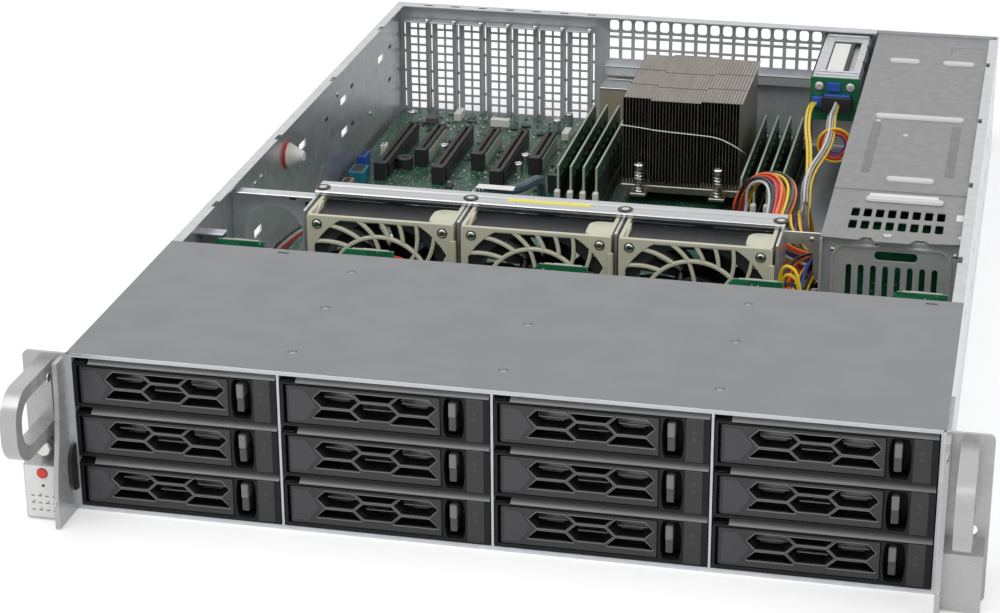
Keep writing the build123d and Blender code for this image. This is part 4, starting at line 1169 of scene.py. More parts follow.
        # The button's recess is lined and backed with painted shade.
        levels = ((1.0, 0.8), (0.94, 2.0), (0.94, self.recess_depth))
        piece.layers([(shrunk(recess, share), depth) for share, depth in levels], Facing.FRONT, HOLLOW_SHADE)
        piece.plate(shrunk(recess, 1.02), [], Facing.FRONT, self.recess_depth, 0.6, HOLLOW_SHADE)
        top = self.height
        slope = [
            (0.0, top - 2.4), (3.2, top), (self.front_depth, top), (self.front_depth, top - 3.4),
            (0.0, top - 3.4),
        ]
        corner = -half + 8.0
        piece.layers([(slope, corner), (slope, half - 0.3)], Facing.SIDE, LEDGE, closed_ends=True)
        worn = [(y + 3.0 if y < 3.5 else y, z - (1.6 if z == top else 0.0)) for y, z in slope]
        piece.layers([(worn, -half + 0.2), (slope, corner)], Facing.SIDE, CARRIER, closed_ends=True)
        piece.plate(
            rectangle(self.recess_x + 6.2, half - 3.2, 0.6, self.lever_high + 1.0), [], Facing.FRONT, -0.2,
            0.5, LEVER, bevel=0.15,
        )
        marks_x = (self.recess_x + 6.2 + half - 3.2) / 2
        for z in (16.4, 12.6):
            piece.disc(
                (marks_x, -0.2, z), FORWARD,
                [(1.3, 0.0), (1.3, 0.14), (0.9, 0.14), (0.9, 0.02), (0.05, 0.02)], PAD, 16,
            )
        inner = half - self.rail_thickness
        for x0, x1 in ((-half, -inner), (inner, half)):
            piece.block((x0, self.front_depth, 0.0), (x1, self.length, self.rail_height), CARRIER, bevel=0.3)
        self.drive(piece)
        return piece

    def drive(self, piece: Workpiece) -> None:
        """The drive itself, a cast body with a pressed lid and four screws on each side."""
        half = self.width / 2 - self.rail_thickness
        start = self.front_depth + 0.8
        end = start + self.drive_length
        top = self.drive_height
        piece.block((-half, start, 0.3), (half, end, top), SUPPLY, bevel=0.6, segments=2)
        # The lid takes the darker copy of the cage sheet, the one that is painted shade on the cage roof.
        piece.block(
            (-half + 3.0, start + 3.0, top - 0.2), (half - 3.0, end - 3.0, top + 1.4), SHADED_SHEET, bevel=0.6,
            segments=2,
        )
        piece.disc(
            (0.0, (start + end) / 2 + 18.0, top + 1.3), UP, [(34.0, 0.0), (33.0, 0.25), (4.0, 0.3)], SUPPLY,
            40,
        )

    def button(self) -> Workpiece:
        """The release slab, whose upper half is thinner and paler."""
        piece = Workpiece("button")
        middle = (self.lever_low + self.lever_high) / 2
        half = (self.recess_height - 0.7 - self.recess_width * 0.3) / 2
        left = self.recess_x - 2.8
        piece.block(
            (left, 1.4, middle - half), (left + 3.6, self.recess_depth - 0.4, middle), SLAB, bevel=0.3,
            segments=2,
        )
        piece.block(
            (left, 0.6, middle), (left + 3.6, self.recess_depth - 0.4, middle + half), LEDGE, bevel=0.3,
            segments=2,
        )
        for step in range(5):
            z = middle - 1.6 - step * 1.25
            piece.block((left + 0.5, 1.15, z - 0.3), (left + 3.1, 1.6, z), SLAB, bevel=0.08)
        return piece

    def build(self) -> None:
        """Puts a carrier, a lever and a button in every bay."""
        masters = {"carrier": self.carrier(), "lever": self.lever(), "button": self.button()}
        slots = {"carrier": "carrier_black", "lever": "lever_black", "button": "button_black"}
        for ending, place in self.bays():
            for kind, master in masters.items():
                twin = master.copy_to(f"{kind}_{ending}_moulding", place)
                twin.done(f"{kind}_{ending}", slots[kind], [f"{kind}_{ending}"])
        for master in masters.values():
            master.mesh.free()


@dataclass
class CoolingFans:
    """Three fans in cream housings, with their rotors and the rail over them."""

    centres: tuple[float, ...] = (-117.167, -25.5, 66.167)
    width: float = 87.07
    low: float = 1.8
    high: float = 83.6
    front: float = FRONT + 222.0
    depth: float = 38.0
    plate: float = 2.6
    bore: float = 37.2
    ring: float = 29.6
    hub: float = 11.0
    ribs: int = 21
    first_rib: float = 96.8
    opening_radius: float = 45.0
    opening_half: Point2 = (39.5, 38.5)
    rib_sweep: float = 1.05
    arm_sweep: float = 0.55
    rib_width: float = 2.1
    body_top: float = 79.8
    lead_hole: Point2 = (-192.0, 56.0)
    lead_radius: float = 18.0
    rail_front: float = FRONT + 253.0
    rail_depth: float = 17.0
    rail_top: float = 85.0
    rail_ends: Point2 = (-164.5, 113.5)
    pins: tuple[float, ...] = (-161.0, -71.3, 20.3, 110.5)
    partitions: tuple[float, ...] = (-163.0, -163.0 + 275.0 / 3, -163.0 + 550.0 / 3, 112.0)
    rail_section: tuple[Point2, ...] = (
        (0.0, 84.85), (-0.4, 86.0), (0.4, 86.8), (1.4, 87.1), (4.6, 87.1), (5.6, 86.2), (10.5, 86.2),
        (11.6, 87.0), (16.2, 87.0), (17.0, 86.2), (17.0, 84.85),
    )
    strip_ends: Point2 = (-50.0, -1.0)
    pin_washer: tuple[Point2, ...] = ((4.2, -3.0), (4.2, 0.2), (4.5, 0.4), (4.5, 0.7), (2.8, 0.8))
    pin_head: tuple[Point2, ...] = ((2.7, 0.0), (2.7, 0.4), (2.0, 0.7))
    sheet: float = 1.2
    sheet_top: float = 83.6
    bracket: float = FRONT + 256.0
    bracket_rivets: tuple[Point2, ...] = ((-169.0, 76.0), (-204.0, 78.0), (-169.0, 14.0))
    bracket_slot: tuple[float, ...] = (-198.15, -174.15, 5.2, 19.2)
    lead_lip: tuple[Point2, ...] = ((0.0, 4.2), (0.4, 2.6), (1.4, 2.6), (1.8, 3.2))
    dark_holes: tuple[Point3, ...] = (
        (-171.0, 44.0, 4.0), (-171.0, 60.0, 4.0), (-169.5, 74.0, 8.0), (-179.5, 80.0, 3.0),
    )
    strap_face: float = FRONT + 252.0
    strap: tuple[Point2, ...] = (
        (112.0, 83.6), (112.0, 76.0), (124.0, 76.0), (130.0, 70.0), (130.0, 54.6), (134.3, 54.6),
        (134.3, 83.6),
    )
    stators: int = 11
    rotor_start: float = 7.6
    rotor_depth: float = 22.0
    blades: int = 7
    aerofoil: tuple[Point2, ...] = (
        (-0.5, 0.2), (-0.25, 0.75), (0.0, 0.85), (0.25, 0.6), (0.5, 0.15),
        (0.5, -0.15), (0.25, -0.3), (0.0, -0.35), (-0.25, -0.3), (-0.5, -0.15),
    )

    @property
    def middle(self) -> float:
        """The height of the fans' axes."""
        return (self.low + self.high) / 2

    def opening(self, x: float) -> list[Point2]:
        """The front opening, a circle cut flat at its top, bottom and sides."""
        wide, tall = self.opening_half
        return clipped(
            circle(x, self.middle, self.opening_radius, 72), x - wide, x + wide, self.middle - tall,
            self.middle + tall,
        )

    def rib_reach(self, start: float) -> float:
        """How far out a rib runs from the ring before it meets the opening's edge."""
        radius = self.ring
        wide, tall = self.opening_half
        while radius < self.opening_radius:
            angle = math.radians(start + self.rib_sweep * (radius - self.ring))
            if abs(radius * math.cos(angle)) > wide or abs(radius * math.sin(angle)) > tall:
                break
            radius += 0.25
        return radius + 0.6

    def rib(
        self, piece: Workpiece, x: float, start: float, inner: float, outer: float, sweep: float,
        width: float,
    ) -> None:
        """A swept rib with rounded edges, from one radius to another."""
        rings = []
        steps = 7
        for step in range(steps + 1):
            radius = inner + (outer - inner) * step / steps
            angle = math.radians(start + sweep * (radius - inner))
            slant = math.atan(math.radians(sweep) * radius)
            across = Vector((-math.sin(angle + slant), 0, math.cos(angle + slant)))
            centre = Vector(
                (x + radius * math.cos(angle), self.front, self.middle + radius * math.sin(angle))
            )
            ring = []
            for side, depth in (
                (-1.0, 2.3), (-1.0, 0.6), (-0.55, 0.15), (0.55, 0.15), (1.0, 0.6), (1.0, 2.3),
            ):
                ring.append(tuple(centre + across * side * width / 2 + Vector((0, depth, 0))))
            rings.append(ring)
        piece.loft(rings, CREAM)

    def band(self, piece: Workpiece, x: float, radius: float, width: float, finish: Finish) -> None:
        """A ring of the grille with rounded edges."""
        profile = ((-1.0, 2.2), (-1.0, 0.5), (-0.55, 0.0), (0.55, 0.0), (1.0, 0.5), (1.0, 2.2))
        lines = [
            (circle(x, self.middle, radius + side * width / 2, 60), self.front + depth)
            for side, depth in profile
        ]
        piece.layers(lines, Facing.FRONT, finish)

    def pad(self, piece: Workpiece, right: float) -> None:
        """The rounded finger pad at the upper right corner, behind the plate."""
        x0, x1 = right - 16.0, right - 1.5
        y0, y1 = self.front + 2.4, self.front + 25.0
        bend = 7.0
        line = [(x1, y0), (x1, y1)]
        for x, y, start in ((x0 + bend, y1 - bend, 90), (x0 + bend, y0 + bend, 180)):
            for step in range(7):
                angle = math.radians(start + 15 * step)
                line.append((x + bend * math.cos(angle), y + bend * math.sin(angle)))
        levels = ((1.0, 70.0), (1.0, self.high - 1.6), (0.97, self.high - 0.7), (0.9, self.high - 0.25))
        piece.layers([(shrunk(line, share), z) for share, z in levels], Facing.TOP, CREAM, closed_ends=True)

    def housing(self, piece: Workpiece, x: float) -> None:
        """One cream housing: front plate, swirl, cheeks, gusset and finger pad."""
        half = self.width / 2
        left, right = x - half, x + half
        top = self.high
        piece.plate(
            rounded(left, right, self.low, top, 1.5, 3), [self.opening(x)], Facing.FRONT, self.front,
            self.plate, CREAM, bevel=0.45, rounds=2,
        )
        for index in range(self.ribs):
            start = self.first_rib + 360 * index / self.ribs
            self.rib(piece, x, start, self.ring, self.rib_reach(start), self.rib_sweep, self.rib_width)
            if index % 3 == 0:
                inner = self.hub - 1.0
                turn = start - self.arm_sweep * (self.ring - inner)
                self.rib(piece, x, turn, inner, self.ring, self.arm_sweep, self.rib_width)
        self.band(piece, x, self.ring, 2.2, CREAM)
        piece.disc(
            (x, self.front + 2.2, self.middle), FORWARD,
            [(self.hub, 0.0), (self.hub, 1.7), (self.hub - 0.6, 2.2), (0.5, 2.2)], CREAM, 40,
        )
        front, back, wall = self.front, self.front + self.depth, 2.2
        for x0, x1 in ((left, left + wall), (right - wall, right)):
            piece.block((x0, front + wall, self.low), (x1, back, top), CREAM)
        piece.block((left, front + wall, self.low), (right, back, self.low + wall), CREAM)
        drops = ((2.0, 12.0), (24.0, 12.0), (24.0, 0.0), (19.0, 0.0), (2.0, 6.0))
        gusset = [(front + y, top - drop) for y, drop in drops]
        piece.layers([(gusset, left + wide) for wide in (2.0, 3.6)], Facing.SIDE, CREAM, closed_ends=True)
        self.pad(piece, right)
        corners = ((-1.4, -0.6), (0.6, -1.0), (1.6, 1.4), (-1.0, 2.0))
        strip = [(right + x, front + y) for x, y in corners]
        piece.layers([(strip, self.low + 12.0), (strip, top - 10.0)], Facing.TOP, CREAM, closed_ends=True)

    def body(self, piece: Workpiece, x: float) -> None:
        """The dark fan body behind the grille, with its round bore and rear struts."""
        half = self.width / 2 - 2.3
        low, high = self.low + 2.2, self.body_top
        bore = circle(x, self.middle, self.bore, 64)
        piece.plate(
            rectangle(x - half, x + half, low, high), [bore], Facing.FRONT, self.front + self.plate,
            self.depth - 1.0 - self.plate, SMOKED, bevel=0.4,
        )
        rear = self.front + self.rotor_start + self.rotor_depth + 1.0
        piece.disc(
            (x, self.front + self.depth - 1.2, self.middle), FORWARD,
            [(14.0, 0.0), (14.0, 5.0), (13.0, 6.0), (1.0, 6.0)], SMOKED, 32,
        )
        for step in range(self.stators):
            turn = math.tau * step / self.stators
            vane = []
            for depth, lag in ((0.6, 0.0), (6.2, 0.34)):
                corners = []
                for radius, lead in ((10.0, 0.0), (self.bore + 0.6, 0.3)):
                    for half in (-0.9, 0.9):
                        angle = turn + lead + lag + half / radius
                        corners.append(
                            (
                                x + radius * math.cos(angle), rear + depth,
                                self.middle + radius * math.sin(angle),
                            )
                        )
                vane.append([corners[0], corners[1], corners[3], corners[2]])
            piece.loft(vane, SMOKED)
        piece.disc(
            (x, rear + 2.0, self.middle), FORWARD,
            [(2.0, 0.0), (2.0, self.rotor_depth - 3.5), (1.2, self.rotor_depth - 3.2)], STEEL, 12,
        )

    def rotor(self, index: int) -> None:
        """One rotor: a cupped hub with curved, twisted blades."""
        x = self.centres[index]
        piece = Workpiece(f"fan_blades_{index + 1}")
        start = self.front + self.rotor_start
        hub = self.bore * 0.3 + 6.0
        piece.disc(
            (x, start + self.rotor_depth, self.middle), FORWARD,
            [
                (2.3, 2.0), (2.3, 0.0), (hub - 0.8, 0.0), (hub, 0.8), (hub, self.rotor_depth - 1.5),
                (hub - 1.5, self.rotor_depth), (0.4, self.rotor_depth),
            ],
            ROTOR, 40,
        )
        for blade in range(self.blades):
            base = math.tau * blade / self.blades
            sections = []
            for step in range(6):
                share = step / 5
                radius = hub - 1.0 + (self.bore - 1.6 - hub + 1.0) * share
                pitch = math.radians(47 + 8 * share)
                chord = 23.0 + 6.0 * share
                corners = []
                for spot, thick in self.aerofoil:
                    along, camber = spot * chord, 4.8 * (0.25 - spot * spot)
                    axial = along * math.cos(pitch) - (thick + camber) * math.sin(pitch)
                    around = along * math.sin(pitch) + (thick + camber) * math.cos(pitch)
                    angle = base + around / radius + share * 0.35
                    corners.append(
                        (
                            x + radius * math.cos(angle), start + self.rotor_depth / 2 + axial,
                            self.middle + radius * math.sin(angle),
                        )
                    )
                sections.append(corners)
            piece.loft(sections, ROTOR)
        piece.done(f"fan_rotor_{index + 1}", "rotor_dark", [f"fan_rotor_{index + 1}"])

    def wall(self) -> None:
        """The rail's rolled top with its pins, its bare yellow strip and the bracket's rivets."""
        piece = Workpiece("fan_rail_trim")
        y0 = self.rail_front
        rail = [(y0 + y, z) for y, z in self.rail_section]
        ends = (self.rail_ends[0] + 0.1, self.rail_ends[1] - 0.1)
        piece.layers([(rail, x) for x in ends], Facing.SIDE, RAIL, closed_ends=True)
        strip = rectangle(*self.strip_ends, y0 + 7.0, y0 + 10.6)
        piece.plate(strip, [], Facing.TOP, 86.5, 0.3, YELLOW_STRIP)
        for x in self.pins:
            piece.disc((x, y0 + 5.0, 86.9), UP, self.pin_washer, RUBBER, 20)
            piece.disc((x, y0 + 5.0, 87.1), UP, self.pin_head, STEEL, 16)
        rivets = [stand(x, self.bracket + 2.0, z, UPRIGHT) for x, z in self.bracket_rivets]
        piece.repeat(Fastener(1.9, 0.7).rivet(), rivets, STEEL)
        piece.done(CHASSIS, "zinc_steel")
        self.brackets()

    def brackets(self) -> None:
        """The rail's own sheet, the partitions, the left bracket and the right strap."""
        piece = Workpiece("fan_wall_sheet")
        left, right = self.rail_ends
        y0, y1, top = self.rail_front, self.rail_front + self.rail_depth, self.rail_top
        piece.block((left, y0, top - 1.1), (right, y1, top + 0.1), TRAY, bevel=0.3)
        piece.block((left, y1 - 1.2, top - 9.1), (right, y1, top), TRAY, bevel=0.2)
        for x in self.partitions:
            piece.block((x - 0.75, self.front + 4.0, FLOOR), (x + 0.75, y1 - 0.1, 84.5), TRAY, bevel=0.2)
        holes = [circle(*self.lead_hole, self.lead_radius, 36), rounded(*self.bracket_slot, 2.0, 3)]
        outline = rectangle(-INSIDE, self.partitions[0], FLOOR, self.sheet_top)
        piece.plate(outline, holes, Facing.FRONT, self.bracket, self.sheet, ZINC, bevel=0.2)
        lip = [
            (circle(*self.lead_hole, self.lead_radius + out, 36), self.rail_front + y)
            for out, y in self.lead_lip
        ]
        piece.layers(lip, Facing.FRONT, ZINC)
        # Blocks of painted shade stand for the bracket's holes.
        for x, z, tall in self.dark_holes:
            piece.block(
                (x - 2.2, self.bracket - 0.3, z - tall / 2), (x + 2.2, self.bracket + 0.4, z + tall / 2),
                SHADE_BLACK,
                bevel=0.2,
            )
        piece.block(
            (-214.0, self.bracket - 7.0, self.sheet_top - 1.2), (-164.0, self.bracket + 0.2, self.sheet_top),
            TRAY, bevel=0.3,
        )
        piece.plate(self.strap, [], Facing.FRONT, self.strap_face, self.sheet, TRAY, bevel=0.2)
        piece.repeat(Fastener(1.8, 0.7).rivet(), [stand(129.0, self.strap_face, 79.5, UPRIGHT)], STEEL)
        piece.done(CHASSIS, "zinc_steel", ["fan_wall"])

    def build(self) -> None:
        """Makes the housings and the rotors."""
        cream = Workpiece("fan_housing_shells")
        for x in self.centres:
            self.housing(cream, x)
            self.body(cream, x)
        screws = [
            stand(x + dx, self.front, z, UPRIGHT)
            for x in self.centres
            for dx in (-self.width / 2 + 6.2, self.width / 2 - 6.2)
            for z in (self.low + 5.0, self.high - 5.4)
        ]
        cream.repeat(Fastener(2.3, 0.9).screw(), screws, STEEL, wobble=80, seed=4)
        # A ring of painted shade round each screw's seat.
        collars = Workpiece("collar")
        collars.disc((0, 0, 0), UP, [(3.0, -0.3), (3.0, 0.25), (2.5, 0.3)], SHADE_BLACK, 16)
        cream.repeat(collars, screws, SHADE_BLACK)
        cream.done(CHASSIS, "fan_cream", ["fan_housings"])
        for index in range(len(self.centres)):
            self.rotor(index)
        self.wall()


@dataclass
class Heatsink:
    """The tower of folded fins with its base, spring screws and retaining wire."""

    left: float = -20.98
    right: float = 60.02
    front: float = 154.5
    rear: float = 259.5
    low: float = 16.1
    high: float = 80.5
    pitch: float = 2.1
    short_side: int = 9
    long_end: int = 25
    screws: Point2 = (-8.0, 45.0)
    wire_high: float = 61.0
    wire_gauge: float = 1.1

    def fin(self, front: float, rear: float) -> Workpiece:
        """One fin with folded edges at its top, notched where the fold lines cross."""
        unit = Workpiece("fin")
        base = self.low + 4.6
        sheet = 0.35
        unit.block((-sheet / 2, front, base), (sheet / 2, rear, self.high), FIN)
        spans = ((front + 0.6, front + 29.0), (front + 30.4, front + 62.0), (front + 63.4, rear - 0.6))
        for y0, y1 in spans:
            unit.block((-sheet / 2, y0, self.high - 0.35), (self.pitch * 0.88, y1, self.high), FIN)
        unit.block((-sheet / 2, front, base), (self.pitch * 0.5, front + 0.35, base + 3.0), FIN)
        return unit

    def build(self) -> None:
        """Builds the fins in three sections, and what holds the heatsink down."""
        piece = Workpiece("heatsink_fins")
        count = int((self.right - self.left) / self.pitch)
        xs = [self.left + 0.3 + index * self.pitch for index in range(count)]
        middle = xs[self.short_side:self.long_end]
        sides = xs[:self.short_side] + xs[self.long_end:]
        piece.repeat(self.fin(self.front + 4.0, self.rear - 3.0), [stand(x, 0, 0) for x in sides], FIN)
        piece.repeat(self.fin(self.front, self.rear), [stand(x, 0, 0) for x in middle], FIN)
        piece.block(
            (self.left, self.front - 0.5, self.low), (self.right, self.rear, self.low + 5.0), FIN, bevel=0.5,
        )
        for x in self.screws:
            y = self.front - 5.0
            piece.block(
                (x - 5.5, y - 5.5, self.low), (x + 5.5, self.front + 2.0, self.low + 2.4), FIN, bevel=0.5,
            )
            piece.spring((x, y, self.low + 2.4), 7.0, 2.7, 15.0, 0.8, STEEL)
            piece.disc(
                (x, y, self.low + 1.0), UP,
                [(1.6, 0.0), (1.6, 17.0), (3.4, 17.0), (3.4, 20.0), (2.8, 20.8), (1.2, 20.8), (1.0, 20.0)],
                STEEL, 18,
            )
        drops = (
            (self.left - 1.5, 3.6, 0.0), (self.left + 10.0, 3.0, 0.5), (4.0, -0.8, 1.0), (30.0, -0.8, 2.0),
            (46.0, -0.8, 3.0), (self.right + 1.0, 2.0, 13.0), (self.right + 2.0, 6.0, 16.0),
        )
        route = [(x, self.front + y, self.wire_high - drop) for x, y, drop in drops]
        piece.take(swept(route, self.wire_gauge), STEEL)
        piece.done(CHASSIS, "fin_metal", ["heatsink"])


@dataclass
class SupplyCage:
    """The folded cage over the power supplies, with its ribs, vents and slotted front."""

    left: float = 134.3
    right: float = 217.3
    front: float = FRONT + 242.0
    rear: float = REAR - 1.2
    top: float = 86.0
    sheet: float = 1.2
    step: float = 82.0
    drop: float = 0.6
    columns: int = 8
    vent_rows: Point2 = (FRONT + 267.0, FRONT + 287.0)
    vent_pitch: float = 7.0
    slit_pitch: float = 6.9
    slit_ends: Point2 = (30.0, 68.0)
    shelf: Point2 = (42.6, 43.8)
    edge: tuple[Point2, ...] = (
        (0.0, 2.5), (12.0, 1.6), (21.0, 1.0), (24.0, 5.5), (28.0, 5.5), (30.0, 0.0),
        (50.0, 0.0), (53.0, 6.0), (58.0, 6.0), (61.0, 2.2), (81.0, 4.5),
    )
    ribs: tuple[tuple[float, ...], ...] = (
        (154.0, 200.0, 304.5, 310.5), (163.0, 192.0, 340.0, 346.5), (147.0, 204.0, 457.5, 464.5),
        (147.0, 168.0, 578.5, 585.5), (183.0, 205.0, 578.5, 585.5),
    )
    grooves: tuple[tuple[float, ...], ...] = (
        (146.6, 153.0, 352.0, 450.0), (196.6, 203.0, 352.0, 450.0),
        (187.0, 209.0, 620.0, 622.0), (187.0, 188.6, 604.0, 622.0),
    )
    labels: tuple[tuple[float, ...], ...] = ((156.0, 196.0, 314.0, 319.0), (208.0, 213.0, 282.0, 292.0))

    def row(self, pitch: float) -> list[float]:
        """The middles of a row of openings across the cage."""
        middle = (self.left + self.right) / 2 - 1.0
        return [middle + (index - (self.columns - 1) / 2) * pitch for index in range(self.columns)]

    def rib(self, piece: Workpiece, x0: float, x1: float, y0: float, y1: float, height: float) -> None:
        """A pressed rib with sloped sides whose pale crown is a painted highlight, or a shallow groove whose
        dark colour is painted shade.
        """
        lines = []
        radius = min(x1 - x0, y1 - y0) / 2 - 0.05
        for inset, z in ((0.0, self.top - 0.3), (0.4, self.top + height * 0.7), (1.0, self.top + height)):
            lines.append((rounded(x0 + inset, x1 - inset, y0 + inset, y1 - inset, radius - inset), z))
        piece.layers(lines, Facing.TOP, HIGHLIGHT_PALE if height > 0.5 else SHADED, closed_ends=True)

    def roof(self, piece: Workpiece) -> None:
        """The roof with its vents and pressed ribs."""
        split = self.front + self.step
        rear = rectangle(self.left, self.right, split, self.rear)
        # The roof takes the darker copy of the sheet: painted shade.
        piece.plate(rear, [], Facing.TOP, self.top, self.sheet, SHADED_SHEET, bevel=0.3)
        low = self.top - self.drop
        edge = [(self.left + x, self.front + y) for x, y in self.edge]
        outline = [*edge, (edge[-1][0], split + 1.0), (self.left, split + 1.0)]
        vents = [
            rounded(x - 2.3, x + 2.3, y - 7.0, y + 7.0, 1.4, 3)
            for y in self.vent_rows
            for x in self.row(self.vent_pitch)
        ]
        piece.plate(outline, vents, Facing.TOP, low, 1.0, SHADED_SHEET, bevel=0.25)
        for height, spans in ((1.5, self.ribs), (0.12, self.grooves)):
            for x0, x1, y0, y1 in spans:
                self.rib(piece, x0, x1, FRONT + y0, FRONT + y1, height)
        for x0, x1, y0, y1 in self.labels:
            label = rectangle(x0, x1, FRONT + y0, FRONT + y1)
            piece.plate(label, [], Facing.TOP, low + 0.2, 0.3, LABEL)

    def walls(self, piece: Workpiece) -> None:
        """The side walls, the lifted front panel and the shelf between the supplies."""
        low_top = self.top - 1.2
        opening = rounded(self.front + 14.0, self.front + self.step - 6.0, 19.2, 74.8, 5.0, 4)
        side = rectangle(self.front, self.rear, FLOOR, low_top - 0.4)
        # The walls, the front panel, its bead and the shelf take the lighter copy of the sheet: painted
        # light.
        for x, holes in ((self.left + self.sheet, [opening]), (self.right, [])):
            piece.plate(side, holes, Facing.SIDE, x, self.sheet, LIT_SHEET, bevel=0.2)
        face = self.front + 6.0
        middle = (self.left + self.right) / 2 - 1.0
        slits = [rounded(x - 1.6, x + 1.6, *self.slit_ends, 1.5, 3) for x in self.row(self.slit_pitch)]
        slot = rounded(middle - 10.0, middle + 14.0, 71.5, 76.8, 2.2, 3)
        left, right = self.left + self.sheet, self.right - self.sheet
        panel = rectangle(left, right, FLOOR, low_top - 1.2)
        piece.plate(panel, [*slits, slot], Facing.FRONT, face, self.sheet, LIT_SHEET, bevel=0.2)
        outer = rounded(middle - 35.0, middle + 34.0, 12.0, 80.5, 9.0, 6)
        inner = rounded(middle - 32.5, middle + 31.5, 14.5, 78.5, 7.0, 6)
        raised = face - 0.8
        bead = ((outer, face), (shrunk(outer, 0.985), raised), (shrunk(inner, 1.01), raised), (inner, face))
        piece.layers(bead, Facing.FRONT, LIT_SHEET)
        low, high = self.shelf
        piece.block((left, REAR - 263.6, low), (right, self.rear, high), LIT_SHEET)

    def build(self) -> None:
        """Builds the cage with its screws and rivets."""
        piece = Workpiece("supply_cage_sheet")
        self.roof(piece)
        self.walls(piece)
        rivets = [
            stand(x, self.front + 6.0, z, UPRIGHT) for x, z in ((141.0, 76.0), (166.0, 81.6), (210.0, 77.0))
        ]
        rivets += [
            stand(150.0, FRONT + 452.0, self.top), stand(169.0, FRONT + 426.0, self.top),
            stand(212.0, FRONT + 256.0, self.top - self.drop),
        ]
        piece.repeat(Fastener(1.7, 0.7).rivet(), rivets, STEEL)
        piece.repeat(
            Fastener(2.6, 1.0).screw(), [stand(self.left + 37.0, self.front + 9.0, self.top - self.drop)],
            STEEL,
            wobble=40, seed=2,
        )
        piece.done(CHASSIS, "cage_steel", ["psu_cage"])


